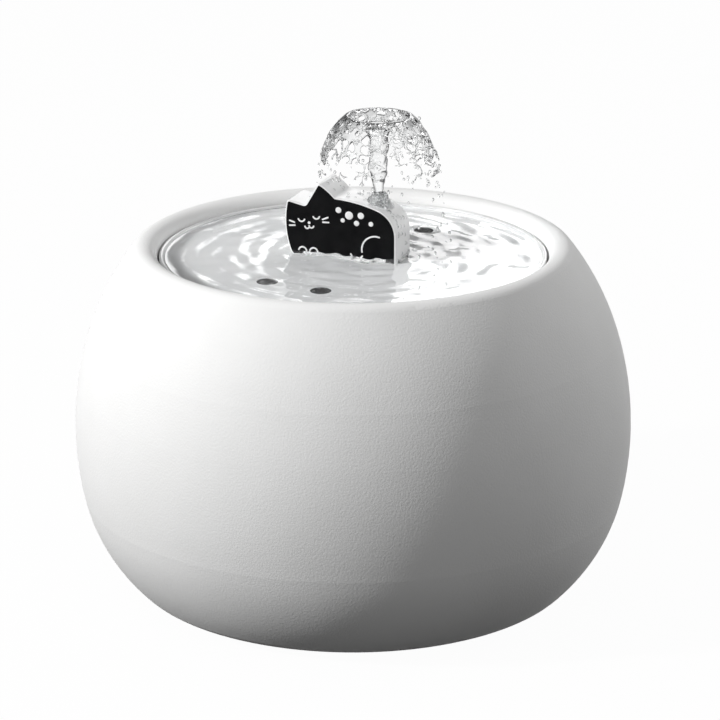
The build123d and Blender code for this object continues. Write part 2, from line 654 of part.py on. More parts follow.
def seal_ring():
    front = MOTOR_FRONT_Y - SEAL_GROOVE
    ring = lying(SEAL_GROOVE_RADIUS + SEAL_GROOVE, front, MOTOR_FRONT_Y, AXIS_X, AXIS_Z)
    return ring - lying(SEAL_GROOVE_RADIUS, front, MOTOR_FRONT_Y, AXIS_X, AXIS_Z)


def make_volute_seal():
    return seal_ring()


# ---- Intake cover, sponge and flow dial --------------------------------------------------
def arc_windows(front, back):
    """The ring of windows that the dial opens and shuts."""
    inner, outer = WINDOW_RADII
    sector = 360 / WINDOW_COUNT
    windows = []
    for count in range(WINDOW_COUNT):
        start = 90 + count * sector - WINDOW_ANGLE / 2
        wide = CenterArc((0, 0), outer, start, WINDOW_ANGLE)
        narrow = CenterArc((0, 0), inner, start, WINDOW_ANGLE)
        sides = (Line(wide @ 0, narrow @ 0), Line(wide @ 1, narrow @ 1))
        flat = Plane(origin=(AXIS_X, back, AXIS_Z), x_dir=(1, 0, 0), z_dir=(0, -1, 0))
        windows.append(extrude(flat * closed_face(wide, narrow, *sides), back - front))
    return windows


def make_intake_cover():
    back = MOTOR_FRONT_Y - FLAT_GAP
    inner_front = INTAKE_FRONT_Y + INTAKE_WALL
    cover = motor_section(0, INTAKE_FRONT_Y, back)
    cover = fillet(cover.faces().sort_by(Axis.Y)[0].edges(), INTAKE_WALL)
    cover -= motor_section(INTAKE_WALL, inner_front, back)
    notch = OUTLET_PIPE_RADIUS + 2 * LOOSE_FIT
    cover -= block((JET_X - notch, JET_X + notch), (-notch, back), (AXIS_Z, PUMP_TOP_Z))
    cover -= upright(notch, AXIS_Z, PUMP_TOP_Z, JET_X, -notch / 4)
    slot_width, slot_height = GRILLE_SLOT
    across = (AXIS_X - PUMP_HALF_WIDTH, AXIS_X + PUMP_HALF_WIDTH)
    z_span = (AXIS_Z - slot_height / 2, AXIS_Z + slot_height / 2)
    for count in range(GRILLE_SLOTS):
        front = GRILLE_FIRST_Y + count * GRILLE_PITCH - slot_width / 2
        cover -= block(across, (front, front + slot_width), z_span)
    for window in arc_windows(INTAKE_FRONT_Y, inner_front):
        cover -= window
    return cover - lying(DIAL_PIN_RADIUS + RUNNING_FIT, INTAKE_FRONT_Y, inner_front, AXIS_X, AXIS_Z)


def make_intake_sponge():
    inset = INTAKE_WALL + LOOSE_FIT
    return motor_section(inset, *SPONGE_Y)


def make_flow_dial():
    """A disc with matching windows, a finger fin, and a snap pin through the cover."""
    back = INTAKE_FRONT_Y - FLAT_GAP
    front = back - DIAL_THICKNESS
    dial = lying(DIAL_RADIUS, front, back, AXIS_X, AXIS_Z)
    for window in arc_windows(front, back):
        dial -= window
    fin_width, fin_length, fin_height = DIAL_FIN
    fin_span = (AXIS_X - fin_length / 2, AXIS_X + fin_length / 2)
    fin = block(fin_span, (front - fin_height, front), (AXIS_Z - fin_width / 2, AXIS_Z + fin_width / 2))
    dial += fillet(fin.edges().filter_by(Axis.Y), fin_width / 3)
    head_front = INTAKE_FRONT_Y + INTAKE_WALL + FLAT_GAP
    dial += lying(DIAL_PIN_RADIUS, back, head_front, AXIS_X, AXIS_Z)
    return dial + lying(DIAL_HEAD_RADIUS, head_front, head_front + DIAL_HEAD, AXIS_X, AXIS_Z)


# ---- Suction cups ------------------------------------------------------------------------
def make_suction_cups():
    """Four rubber cups that hold the pump down on the bowl's floor."""
    top = PUMP_BOTTOM_Z + CUP_SOCKET
    shoulder = (CUP_NECK_RADIUS, PUMP_BOTTOM_Z - CUP_NECK)
    neck = Polyline((0, FLOOR_Z + CUP_HOLLOW), (0, top), (CUP_NECK_RADIUS, top), shoulder)
    bell = Line(shoulder, (CUP_RADIUS, FLOOR_Z))
    hollow = Polyline((CUP_RADIUS, FLOOR_Z), (CUP_RADIUS - CUP_LIP, FLOOR_Z), (0, FLOOR_Z + CUP_HOLLOW))
    cup = turned(neck, bell, hollow)
    return Compound(children=[Pos(x, y, 0) * cup for x, y in cup_places()])


# ---- Write every sub-part ----------------------------------------------------------------
NODES = {
    "bowl": make_bowl,
    "foot_pads": make_foot_pads,
    "lead_grommet": make_lead_grommet,
    "tray": make_tray,
    "tray_seal": make_tray_seal,
    "spout_fitting": make_spout_fitting,
    "fitting_washer": make_fitting_washer,
    "fitting_nut": make_fitting_nut,
    "riser_tube": make_riser_tube,
    "filter_oring": make_filter_oring,
    "filter_case": make_filter_case,
    "filter_lid": make_filter_lid,
    "filter_cotton": make_filter_cotton,
    "filter_carbon": make_filter_carbon,
    "cat_figure": make_cat_figure,
    "cat_face": make_cat_face,
    "water_nozzle": make_water_nozzle,
    "water_jet": make_water_jet,
    "pump_body": make_pump_body,
    "motor_cap": make_motor_cap,
    "lead_gland": make_lead_gland,
    "stator_core": make_stator_core,
    "stator_coil": make_stator_coil,
    "motor_potting": make_motor_potting,
    "rotor_magnet": make_rotor_magnet,
    "impeller": make_impeller,
    "impeller_shaft": make_impeller_shaft,
    "rear_bush": make_rear_bush,
    "front_bush": make_front_bush,
    "volute_cover": make_volute_cover,
    "volute_seal": make_volute_seal,
    "intake_cover": make_intake_cover,
    "intake_sponge": make_intake_sponge,
    "flow_dial": make_flow_dial,
    "suction_cups": make_suction_cups,
}

os.makedirs("parts", exist_ok=True)
for name, make in NODES.items():
    export_step(make(), f"parts/{name}.step")
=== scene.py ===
# %% [markdown]
# # A ceramic pet water fountain, dressed for its portrait
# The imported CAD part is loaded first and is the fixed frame: bowl, tray, figure, pump and
# filter are already there, at their real size, each on the body that it moves with. The cells
# below light it, give each piece its finish, and add what solids can't show: moving water,
# the white print on the cat, filter cotton and sponge.

# %% Load the frame
import math
import random

import bmesh
import bpy
from mathutils import Matrix, Vector, noise
from mathutils.bvhtree import BVHTree


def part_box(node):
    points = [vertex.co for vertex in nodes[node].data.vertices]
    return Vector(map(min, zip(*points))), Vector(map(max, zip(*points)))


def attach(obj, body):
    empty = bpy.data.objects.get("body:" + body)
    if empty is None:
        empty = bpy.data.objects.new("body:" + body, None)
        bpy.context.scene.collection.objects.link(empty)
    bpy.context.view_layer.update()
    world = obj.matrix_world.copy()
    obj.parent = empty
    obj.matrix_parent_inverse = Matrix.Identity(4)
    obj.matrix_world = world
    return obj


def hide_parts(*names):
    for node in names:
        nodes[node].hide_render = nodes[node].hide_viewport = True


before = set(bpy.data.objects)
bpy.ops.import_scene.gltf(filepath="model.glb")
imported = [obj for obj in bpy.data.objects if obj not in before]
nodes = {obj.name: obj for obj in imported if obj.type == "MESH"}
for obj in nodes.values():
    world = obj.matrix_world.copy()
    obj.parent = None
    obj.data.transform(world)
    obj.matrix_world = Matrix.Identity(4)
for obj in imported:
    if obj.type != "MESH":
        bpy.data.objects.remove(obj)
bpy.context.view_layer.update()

MM = 0.001

# %% [markdown]
# ## The camera
# A product shot of a round bowl is taken with a long lens from a little above the rim, so that
# the pool shows as an ellipse and the sides stay upright. The camera only needs a place and a
# point to look at: `to_track_quat` turns it so that its -Z axis looks along that line.

# %% Camera
SENSOR_WIDTH = 36.0
LENS_LENGTH = 167.02
CAMERA_PLACE = Vector((0.00244, -1.1402, 0.458))
CAMERA_AIM = Vector((0.00244, 0.0, 0.08396))
line_of_sight = CAMERA_AIM - CAMERA_PLACE

camera_data = bpy.data.cameras.new("portrait_lens")
camera_data.sensor_width = SENSOR_WIDTH
camera_data.lens = LENS_LENGTH
camera_data.clip_start = 0.05
camera = bpy.data.objects.new("portrait_camera", camera_data)
bpy.context.scene.collection.objects.link(camera)
camera.location = CAMERA_PLACE
camera.rotation_euler = line_of_sight.to_track_quat("-Z", "Y").to_euler()
bpy.context.scene.camera = camera
bpy.context.scene.view_settings.view_transform = "Standard"
down = math.degrees(math.atan2(-line_of_sight.z, line_of_sight.y))
print("camera looks down", round(down, 1), "degrees")

# %% [markdown]
# ## Helpers for shader nodes
# A material, like the world, is a tree of small nodes wired together. Four helpers keep the
# wiring short: `feed` fills a socket, `combine` does one sum, `ease` fades from one value to
# another, and `sharp_ray` tells mirrored and bent light from soft light.

# %% Node helpers
RISING, FALLING = (0.0, 1.0), (1.0, 0.0)


def feed(tree, socket, value):
    """Gives a socket a number, or links another node's output to it."""
    if isinstance(value, float):
        socket.default_value = value
    else:
        tree.links.new(value, socket)


def combine(tree, operation, first, second):
    """One step of arithmetic, with outputs or numbers."""
    step = tree.nodes.new("ShaderNodeMath")
    step.operation = operation
    for socket, value in zip(step.inputs, (first, second)):
        feed(tree, socket, value)
    return step.outputs[0]


def ease(tree, source, edge, ends=RISING, curve="SMOOTHSTEP"):
    """Goes from the first end value to the second while the source crosses the edge."""
    fade = tree.nodes.new("ShaderNodeMapRange")
    fade.interpolation_type = curve
    for name, value in zip(("From Min", "From Max", "To Min", "To Max"), (*edge, *ends)):
        fade.inputs[name].default_value = value
    tree.links.new(source, fade.inputs["Value"])
    return fade.outputs["Result"]


def sharp_ray(tree):
    """1 for a mirrored or a bent ray, and 0 for any other."""
    rays = tree.nodes.new("ShaderNodeLightPath").outputs
    return combine(tree, "MAXIMUM", rays["Is Glossy Ray"], rays["Is Transmission Ray"])


print("node helpers ready")

# %% [markdown]
# ## The studio
# Clear water has no colour of its own. What draws it is what it bends and mirrors, so a studio
# that is white all round makes it vanish. Photographers hang dark cards above glass to give it
# dark edges, and the world here does the same: for mirrored and bent rays it is white near the
# horizon and dark overhead. Behind the bowl a bright panel stands on the right and a dim card on
# the left, which is what ripples on the pool throw back as sharp light and dark patches. For
# the camera the world is plain white, and for soft light a mild grey. Each edge below is a
# stretch of one axis of the direction that a ray leaves in: X right, Y back, Z up.

# %% World
SKY_FILL = 0.44
SKY_DARK = 0.04
PANEL_GLOW = 2.8
CARD_DIM = 0.75
SKY_TURNS_DARK = (0.34, 0.50)
BACK_BEGINS = (0.0, 0.2)
BACK_TOP = (0.46, 0.56)
PANEL_FOOT = (0.16, 0.20)
PANEL_LEFT = (-0.035, 0.03)
PANEL_RIGHT = (0.40, 0.60)
CARD_RIGHT = (-0.045, 0.02)

world = bpy.data.worlds.new("studio_world")
world.use_nodes = True
bpy.context.scene.world = world
studio = world.node_tree
backdrop = studio.nodes["Background"]
backdrop.inputs["Color"].default_value = (1, 1, 1, 1)
direction = studio.nodes.new("ShaderNodeTexCoord")
toward = studio.nodes.new("ShaderNodeSeparateXYZ")
studio.links.new(direction.outputs["Generated"], toward.inputs[0])


def band(axis, edge, ends=RISING):
    """A soft step along one axis of the direction that a ray leaves in."""
    return ease(studio, toward.outputs[axis], edge, ends)


def times(first, second):
    return combine(studio, "MULTIPLY", first, second)


def choose(when, otherwise, then):
    """Takes `then` where `when` is 1, and `otherwise` where it is 0."""
    choice = studio.nodes.new("ShaderNodeMix")
    for name, value in zip(("Factor", "A", "B"), (when, otherwise, then)):
        feed(studio, choice.inputs[name], value)
    return choice.outputs["Result"]


behind = times(band("Y", BACK_BEGINS), band("Z", BACK_TOP, FALLING))
panel = times(band("X", PANEL_LEFT), band("X", PANEL_RIGHT, FALLING))
panel = times(times(panel, band("Z", PANEL_FOOT)), behind)
dim_card = times(times(band("X", CARD_RIGHT, FALLING), behind), CARD_DIM)
sky = band("Z", SKY_TURNS_DARK, (1.0, SKY_DARK))
open_sky = times(sky, combine(studio, "SUBTRACT", 1.0, dim_card))
mirrored = combine(studio, "ADD", open_sky, times(panel, PANEL_GLOW))
seen_by_light = choose(sharp_ray(studio), SKY_FILL, mirrored)
camera_ray = studio.nodes.new("ShaderNodeLightPath").outputs["Is Camera Ray"]
studio.links.new(choose(camera_ray, seen_by_light, 1.0), backdrop.inputs["Strength"])
print("world ready:", len(studio.nodes), "nodes")

# %% [markdown]
# ## Lamps and floor
# One small lamp stands to the left and a little above. Its low light gives the bowl its long
# turn from light to shade and picks out the grain of the glaze. A weak, wide one behind on the
# right draws the far edge. The floor glows white to the camera and in mirrored and bent light,
# and soft light falls on it as on dark paper.

# %% Lamps
BOWL_HEART = (0.0, 0.0, 0.07)


def soft_lamp(name, azimuth, elevation, distance, width, power):
    """A round lamp that faces the bowl: azimuth 0 is the front, positive to the right."""
    lamp = bpy.data.lights.new(name, "AREA")
    lamp.shape = "DISK"
    lamp.size = width
    lamp.energy = power
    holder = bpy.data.objects.new(name, lamp)
    bpy.context.scene.collection.objects.link(holder)
    azimuth, elevation = math.radians(azimuth), math.radians(elevation)
    flat = distance * math.cos(elevation)
    rise = BOWL_HEART[2] + distance * math.sin(elevation)
    holder.location = (flat * math.sin(azimuth), -flat * math.cos(azimuth), rise)
    facing = Vector(BOWL_HEART) - holder.location
    holder.rotation_euler = facing.to_track_quat("-Z", "Y").to_euler()


soft_lamp("key_lamp", azimuth=-69, elevation=29, distance=1.6, width=0.14, power=20.9)
soft_lamp("edge_lamp", azimuth=118, elevation=14, distance=1.4, width=0.5, power=3.8)
print("lamps:", len(bpy.data.lights))

# %% Floor
FLOOR_RADIUS = 4.0
FLOOR_SIDES = 96
PAPER_GREY = 0.025
PAPER_GLOW = 0.97

floor_mesh = bpy.data.meshes.new("studio_floor")
bm = bmesh.new()
bmesh.ops.create_circle(bm, cap_ends=True, segments=FLOOR_SIDES, radius=FLOOR_RADIUS)
bm.to_mesh(floor_mesh)
bm.free()
floor = bpy.data.objects.new("studio_floor", floor_mesh)
bpy.context.scene.collection.objects.link(floor)

paper = bpy.data.materials.new("floor_paper")
paper.use_nodes = True
sheet = paper.node_tree
paper_sockets = sheet.nodes["Principled BSDF"].inputs
paper_sockets["Base Color"].default_value = (PAPER_GREY, PAPER_GREY, PAPER_GREY, 1)
paper_sockets["Roughness"].default_value = 0.9
paper_sockets["Specular IOR Level"].default_value = 0.0
paper_sockets["Emission Color"].default_value = (1, 1, 1, 1)
camera_ray = sheet.nodes.new("ShaderNodeLightPath").outputs["Is Camera Ray"]
lit = combine(sheet, "MAXIMUM", camera_ray, sharp_ray(sheet))
sheet.links.new(combine(sheet, "MULTIPLY", lit, PAPER_GLOW), paper_sockets["Emission Strength"])
floor_mesh.materials.append(paper)
print("floor ready:", 2 * FLOOR_RADIUS, "metres across")

# %% [markdown]
# ## How a finish is built
# Real surfaces are never one flat colour. Each finish starts as a Principled shader and gets
# three layers of detail, all in Object coordinates so that a pattern stays the same size on
# every piece: `tint` drifts the colour, `polish` drifts the roughness, and `relief` raises
# a fine bump. Sizes are given in millimetres between one bump and the next.

# %% Finish helpers
def finish(name, colour, roughness, **sockets):
    material = bpy.data.materials.new(name)
    material.use_nodes = True
    shader = material.node_tree.nodes["Principled BSDF"]
    shader.inputs["Base Color"].default_value = (*colour, 1)
    shader.inputs["Roughness"].default_value = roughness
    for socket, value in sockets.items():
        shader.inputs[socket.replace("_", " ")].default_value = value
    return material


def pattern(material, kind, size_mm, detail=2.0, stretch=(1, 1, 1)):
    """A noise or cell texture read in Object coordinates, one feature every size_mm."""
    tree = material.node_tree
    place = tree.nodes.new("ShaderNodeTexCoord")
    mapping = tree.nodes.new("ShaderNodeMapping")
    mapping.inputs["Scale"].default_value = [1000.0 / size_mm * s for s in stretch]
    tree.links.new(place.outputs["Object"], mapping.inputs["Vector"])
    texture = tree.nodes.new("ShaderNodeTexNoise" if kind == "noise" else "ShaderNodeTexVoronoi")
    texture.inputs["Scale"].default_value = 1.0
    if kind == "noise":
        texture.inputs["Detail"].default_value = detail
    tree.links.new(mapping.outputs["Vector"], texture.inputs["Vector"])
    return texture.outputs["Fac" if kind == "noise" else "Distance"]


def tint(material, low, high, source, start=0.3, stop=0.7):
    """Drifts the colour from low to high while the source goes from start to stop."""
    tree = material.node_tree
    ramp = tree.nodes.new("ShaderNodeValToRGB")
    for end, position, colour in zip(ramp.color_ramp.elements, (start, stop), (low, high)):
        end.position = position
        end.color = (*colour, 1)
    tree.links.new(source, ramp.inputs["Fac"])
    tree.links.new(ramp.outputs["Color"], tree.nodes["Principled BSDF"].inputs["Base Color"])


def polish(material, low, high, source):
    """Drifts the roughness from low to high while the source goes from 0 to 1."""
    tree = material.node_tree
    drift = ease(tree, source, RISING, (low, high), "LINEAR")
    tree.links.new(drift, tree.nodes["Principled BSDF"].inputs["Roughness"])


def relief(material, depth_mm, source):
    """Raises a fine bump, this deep where the source goes from 0 to 1."""
    tree = material.node_tree
    bump = tree.nodes.new("ShaderNodeBump")
    bump.inputs["Strength"].default_value = 1.0
    bump.inputs["Distance"].default_value = depth_mm * MM
    tree.links.new(source, bump.inputs["Height"])
    tree.links.new(bump.outputs["Normal"], tree.nodes["Principled BSDF"].inputs["Normal"])


def wear_finish(material, *node_names):
    """Gives CAD pieces this finish in place of the one that they came with."""
    for name in node_names:
        mesh = nodes[name].data
        mesh.materials.clear()
        mesh.materials.append(material)
    print(material.name, "on", ", ".join(node_names))


# %% [markdown]
# ## The bowl's matt glaze
# The bowl has a matt glaze with a faint orange-peel grain, under a millimetre from bump to
# bump. Matt glaze hardly mirrors, so its specular level is low and the bump alone shows the
# grain, where the lamp's light runs flat along the wall.

# %% Bowl glaze
bowl_glaze = finish("bowl_matt_glaze", (0.87, 0.87, 0.865), 0.62, Specular_IOR_Level=0.05)
tint(bowl_glaze, (0.855, 0.855, 0.85), (0.88, 0.88, 0.876), pattern(bowl_glaze, "noise", 22.0, 3.0))
polish(bowl_glaze, 0.55, 0.70, pattern(bowl_glaze, "noise", 6.0))
relief(bowl_glaze, 0.08, pattern(bowl_glaze, "noise", 0.72, 1.0))
wear_finish(bowl_glaze, "bowl")

# %% [markdown]
# ## The tray's glaze and its drains
# The tray wears a smooth glaze that catches the lamp. Its four drains lead down into the dark of the
# closed bowl. Their walls would shine white in the studio's light, so shade is painted into the
# finish there, near black: by how near a point lies to a drain's axis, and how far under the tray's
# floor.

# %% Tray glaze
tray_glaze = finish("tray_gloss_glaze", (0.78, 0.78, 0.78), 0.16)
tint(tray_glaze, (0.74, 0.745, 0.75), (0.80, 0.80, 0.80), pattern(tray_glaze, "noise", 14.0, 3.0))
polish(tray_glaze, 0.12, 0.24, pattern(tray_glaze, "noise", 5.0))
relief(tray_glaze, 0.02, pattern(tray_glaze, "noise", 2.0))
wear_finish(tray_glaze, "tray")

# %% Drains
FLOOR_OVER_SEAL = 5.0
TRAY_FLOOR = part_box("tray_seal")[1].z / MM + FLOOR_OVER_SEAL
DRAIN_CIRCLE = 42.8
DRAIN_ANGLES = [math.radians(degrees) for degrees in (226, 255, 53, 82)]
DRAINS = [(DRAIN_CIRCLE * math.cos(angle), DRAIN_CIRCLE * math.sin(angle)) for angle in DRAIN_ANGLES]
DRAIN_WALL = 3.85
WALL_FADE = 0.1
SHADE_TOP = TRAY_FLOOR - 0.3
TOP_FADE = 0.25
# Painted shade: the near-black colour that stands in for the dark down the drains.
DRAIN_SHADE = (0.03, 0.03, 0.03, 1)


def to_nearest_drain(tree, x, y):
    """How far a point lies from the axis of the drain that is nearest to it."""
    flat = tree.nodes.new("ShaderNodeCombineXYZ")
    tree.links.new(x, flat.inputs["X"])
    tree.links.new(y, flat.inputs["Y"])
    nearest = None
    for drain_x, drain_y in DRAINS:
        apart = tree.nodes.new("ShaderNodeVectorMath")
        apart.operation = "DISTANCE"
        apart.inputs[1].default_value = (drain_x * MM, drain_y * MM, 0)
        tree.links.new(flat.outputs[0], apart.inputs[0])
        distance = apart.outputs["Value"]
        nearest = distance if nearest is None else combine(tree, "MINIMUM", nearest, distance)
    return nearest


def shade_drains(material):
    """Paints shade, near black, on the walls of the drains, from just under the tray's floor."""
    tree = material.node_tree
    place = tree.nodes.new("ShaderNodeTexCoord")
    parts = tree.nodes.new("ShaderNodeSeparateXYZ")
    tree.links.new(place.outputs["Object"], parts.inputs[0])
    from_axis = to_nearest_drain(tree, parts.outputs["X"], parts.outputs["Y"])
    wall_edge = ((DRAIN_WALL - WALL_FADE) * MM, (DRAIN_WALL + WALL_FADE) * MM)
    top_edge = ((SHADE_TOP - TOP_FADE) * MM, (SHADE_TOP + TOP_FADE) * MM)
    on_wall = ease(tree, from_axis, wall_edge, FALLING, "LINEAR")
    under_floor = ease(tree, parts.outputs["Z"], top_edge, FALLING, "LINEAR")
    base = tree.nodes["Principled BSDF"].inputs["Base Color"]
    blend = tree.nodes.new("ShaderNodeMixRGB")
    blend.inputs["Color2"].default_value = DRAIN_SHADE
    tree.links.new(base.links[0].from_socket, blend.inputs["Color1"])
    tree.links.new(combine(tree, "MULTIPLY", on_wall, under_floor), blend.inputs["Fac"])
    tree.links.new(blend.outputs["Color"], base)


shade_drains(tray_glaze)
print("drains:", len(DRAINS), "with the tray's floor at", round(TRAY_FLOOR, 2), "mm")

# %% [markdown]
# ## The figure's two glazes
# The cat is white behind and round its edge, with the same kind of smooth glaze as the tray.
# Its front is a black glaze that is nearly matt, so that the white drawing on it reads clearly.

# %% Figure glazes
figure_glaze = finish("figure_white_glaze", (0.86, 0.86, 0.86), 0.30)
tint(figure_glaze, (0.82, 0.82, 0.82), (0.87, 0.87, 0.87), pattern(figure_glaze, "noise", 9.0, 3.0))
polish(figure_glaze, 0.24, 0.40, pattern(figure_glaze, "noise", 3.0))
relief(figure_glaze, 0.03, pattern(figure_glaze, "noise", 1.4))
wear_finish(figure_glaze, "cat_figure")

face_glaze = finish("figure_black_glaze", (0.006, 0.006, 0.0065), 0.60, Specular_IOR_Level=0.05)
face_mottle = pattern(face_glaze, "noise", 5.0, 3.0)
tint(face_glaze, (0.004, 0.004, 0.0045), (0.008, 0.008, 0.0085), face_mottle)
polish(face_glaze, 0.52, 0.68, pattern(face_glaze, "noise", 2.0))
relief(face_glaze, 0.02, pattern(face_glaze, "noise", 0.9))
wear_finish(face_glaze, "cat_face")

# %% [markdown]
# ## Rubber and plastics
# Seals, feet and bushes are grey silicone rubber, and the riser and the nozzle clear silicone.
# The spout's fitting, its nut and the impeller are smooth white plastic, the pump's housing is
# spark-textured black, and its cover and dial are dark grey. Each gets the grain that its mould
# leaves on it: deepest on the housing, and shallow on the smooth white pieces.

# %% Rubber and plastics
rubber = finish("silicone_rubber", (0.30, 0.30, 0.31), 0.62)
tint(rubber, (0.26, 0.26, 0.27), (0.34, 0.34, 0.35), pattern(rubber, "noise", 4.0))
polish(rubber, 0.55, 0.75, pattern(rubber, "noise", 1.5))
relief(rubber, 0.03, pattern(rubber, "noise", 0.5))
wear_finish(rubber, "foot_pads", "lead_grommet", "tray_seal", "fitting_washer", "filter_oring",
            "suction_cups", "volute_seal", "lead_gland", "rear_bush", "front_bush")

clear_silicone = finish("clear_silicone", (0.91, 0.92, 0.92), 0.22, Transmission_Weight=0.75,
                        IOR=1.41)
tint(clear_silicone, (0.86, 0.87, 0.87), (0.94, 0.95, 0.95), pattern(clear_silicone, "noise", 5.0))
polish(clear_silicone, 0.16, 0.34, pattern(clear_silicone, "noise", 2.0))
relief(clear_silicone, 0.03, pattern(clear_silicone, "noise", 1.0))
wear_finish(clear_silicone, "riser_tube", "water_nozzle")

white_plastic = finish("moulded_white_plastic", (0.84, 0.84, 0.83), 0.34)
tint(white_plastic, (0.80, 0.80, 0.79), (0.86, 0.86, 0.85), pattern(white_plastic, "noise", 7.0))
polish(white_plastic, 0.28, 0.42, pattern(white_plastic, "noise", 2.0))
relief(white_plastic, 0.015, pattern(white_plastic, "noise", 0.6))
wear_finish(white_plastic, "spout_fitting", "fitting_nut", "impeller")

pump_black = finish("spark_textured_black", (0.022, 0.022, 0.025), 0.55)
tint(pump_black, (0.016, 0.016, 0.018), (0.034, 0.034, 0.037), pattern(pump_black, "noise", 6.0))
polish(pump_black, 0.45, 0.68, pattern(pump_black, "noise", 1.2))
relief(pump_black, 0.05, pattern(pump_black, "noise", 0.35))
wear_finish(pump_black, "pump_body", "motor_cap", "intake_cover")

pump_grey = finish("moulded_dark_grey", (0.13, 0.135, 0.14), 0.45)
tint(pump_grey, (0.11, 0.115, 0.12), (0.16, 0.165, 0.17), pattern(pump_grey, "noise", 4.0))
polish(pump_grey, 0.36, 0.56, pattern(pump_grey, "noise", 1.0))
relief(pump_grey, 0.03, pattern(pump_grey, "noise", 0.4))
wear_finish(pump_grey, "volute_cover", "flow_dial")

# %% [markdown]
# ## The filter's shell and its carbon
# The cartridge is pale blue-grey plastic. The carbon in it is packed granules, and cells give
# those: each cell of a Voronoi texture is one grain, raised in its bump and shaded in its colour.

# %% Filter shell and carbon
filter_plastic = finish("filter_shell_plastic", (0.76, 0.80, 0.83), 0.42)
tint(filter_plastic, (0.72, 0.76, 0.79), (0.79, 0.83, 0.86), pattern(filter_plastic, "noise", 8.0))
polish(filter_plastic, 0.34, 0.52, pattern(filter_plastic, "noise", 2.0))
relief(filter_plastic, 0.03, pattern(filter_plastic, "noise", 0.7))
wear_finish(filter_plastic, "filter_case", "filter_lid")

carbon = finish("packed_carbon", (0.02, 0.02, 0.02), 0.60)
tint(carbon, (0.010, 0.010, 0.010), (0.05, 0.05, 0.052), pattern(carbon, "cells", 1.3), 0.1, 0.8)
polish(carbon, 0.35, 0.85, pattern(carbon, "noise", 0.9))
relief(carbon, 0.50, pattern(carbon, "cells", 1.3))
wear_finish(carbon, "filter_carbon")

# %% [markdown]
# ## Inside the motor
# The magnet is ground ferrite, the core a stack of steel sheets, the coil wound copper, and
# cast resin fills the space round them. The rotor turns on a ground ceramic rod. Noise that is
# stretched along one axis gives what runs one way: sheet edges, turns of wire, marks of grinding.

# %% Motor
ferrite = finish("ground_ferrite", (0.06, 0.06, 0.065), 0.40, Metallic=0.4)
tint(ferrite, (0.045, 0.045, 0.05), (0.08, 0.08, 0.085), pattern(ferrite, "noise", 1.5))
polish(ferrite, 0.30, 0.55, pattern(ferrite, "noise", 0.6, stretch=(6, 0.3, 6)))
relief(ferrite, 0.02, pattern(ferrite, "noise", 0.5, stretch=(6, 0.3, 6)))
wear_finish(ferrite, "rotor_magnet")

laminations = finish("stacked_laminations", (0.42, 0.42, 0.43), 0.35, Metallic=1.0)
sheets = pattern(laminations, "noise", 0.5, 0.0, stretch=(0.02, 1, 0.02))
tint(laminations, (0.28, 0.28, 0.29), (0.50, 0.50, 0.51), sheets)
polish(laminations, 0.28, 0.50, pattern(laminations, "noise", 0.8))
relief(laminations, 0.10, sheets)
wear_finish(laminations, "stator_core")

copper = finish("enamelled_copper", (0.50, 0.20, 0.08), 0.28, Metallic=1.0)
turns = pattern(copper, "noise", 0.35, 0.0, stretch=(1, 0.02, 0.02))
tint(copper, (0.32, 0.11, 0.04), (0.66, 0.30, 0.12), turns)
polish(copper, 0.20, 0.40, pattern(copper, "noise", 1.0))
relief(copper, 0.12, turns)
wear_finish(copper, "stator_coil")

resin = finish("cast_resin", (0.03, 0.03, 0.032), 0.30)
tint(resin, (0.02, 0.02, 0.022), (0.045, 0.045, 0.047), pattern(resin, "noise", 6.0))
polish(resin, 0.22, 0.42, pattern(resin, "noise", 3.0))
relief(resin, 0.10, pattern(resin, "noise", 4.0))
wear_finish(resin, "motor_potting")

shaft_ceramic = finish("ground_ceramic_rod", (0.84, 0.83, 0.80), 0.28)
tint(shaft_ceramic, (0.80, 0.79, 0.76), (0.87, 0.86, 0.83), pattern(shaft_ceramic, "noise", 2.0))
polish(shaft_ceramic, 0.20, 0.36, pattern(shaft_ceramic, "noise", 0.7))
relief(shaft_ceramic, 0.01, pattern(shaft_ceramic, "noise", 0.3))
wear_finish(shaft_ceramic, "impeller_shaft")

# %% [markdown]
# ## Water
# Water is clear, so its colour lives in its edges. The shader is a Principled one with full
# transmission and an index of refraction of 1.33. Lamps could only reach through it by way of
# slow bent-light paths, so for shadow rays it is swapped for a plain transparent shader. A
# Layer Weight node paints shade into the colour where the surface turns away from the camera,
# standing in for the dark that real water mirrors and bends at its edges.
# The spray stirs air into the pool, so that is a touch less clear and stays pale in shadow.

# %% Water finish
WATER_IOR = 1.33
WATER_ROUGHNESS = 0.015
WATER_SHADOW = (0.96, 0.97, 0.97, 1)


def water_finish(name, body, edge, edge_from, edge_to, clearness=1.0):
    """Clear water whose colour goes from its body colour to a painted edge shade as it turns away."""
    material = finish(name, body, WATER_ROUGHNESS, Transmission_Weight=clearness, IOR=WATER_IOR)
    tree = material.node_tree
    turn = tree.nodes.new("ShaderNodeLayerWeight")
    turn.inputs["Blend"].default_value = 0.5
    tint(material, body, edge, turn.outputs["Facing"], edge_from, edge_to)
    clear = tree.nodes.new("ShaderNodeBsdfTransparent")
    clear.inputs["Color"].default_value = WATER_SHADOW
    light = tree.nodes.new("ShaderNodeLightPath")
    swap = tree.nodes.new("ShaderNodeMixShader")
    tree.links.new(light.outputs["Is Shadow Ray"], swap.inputs["Fac"])
    tree.links.new(tree.nodes["Principled BSDF"].outputs["BSDF"], swap.inputs[1])
    tree.links.new(clear.outputs["BSDF"], swap.inputs[2])
    tree.links.new(swap.outputs["Shader"], tree.nodes["Material Output"].inputs["Surface"])
    return material
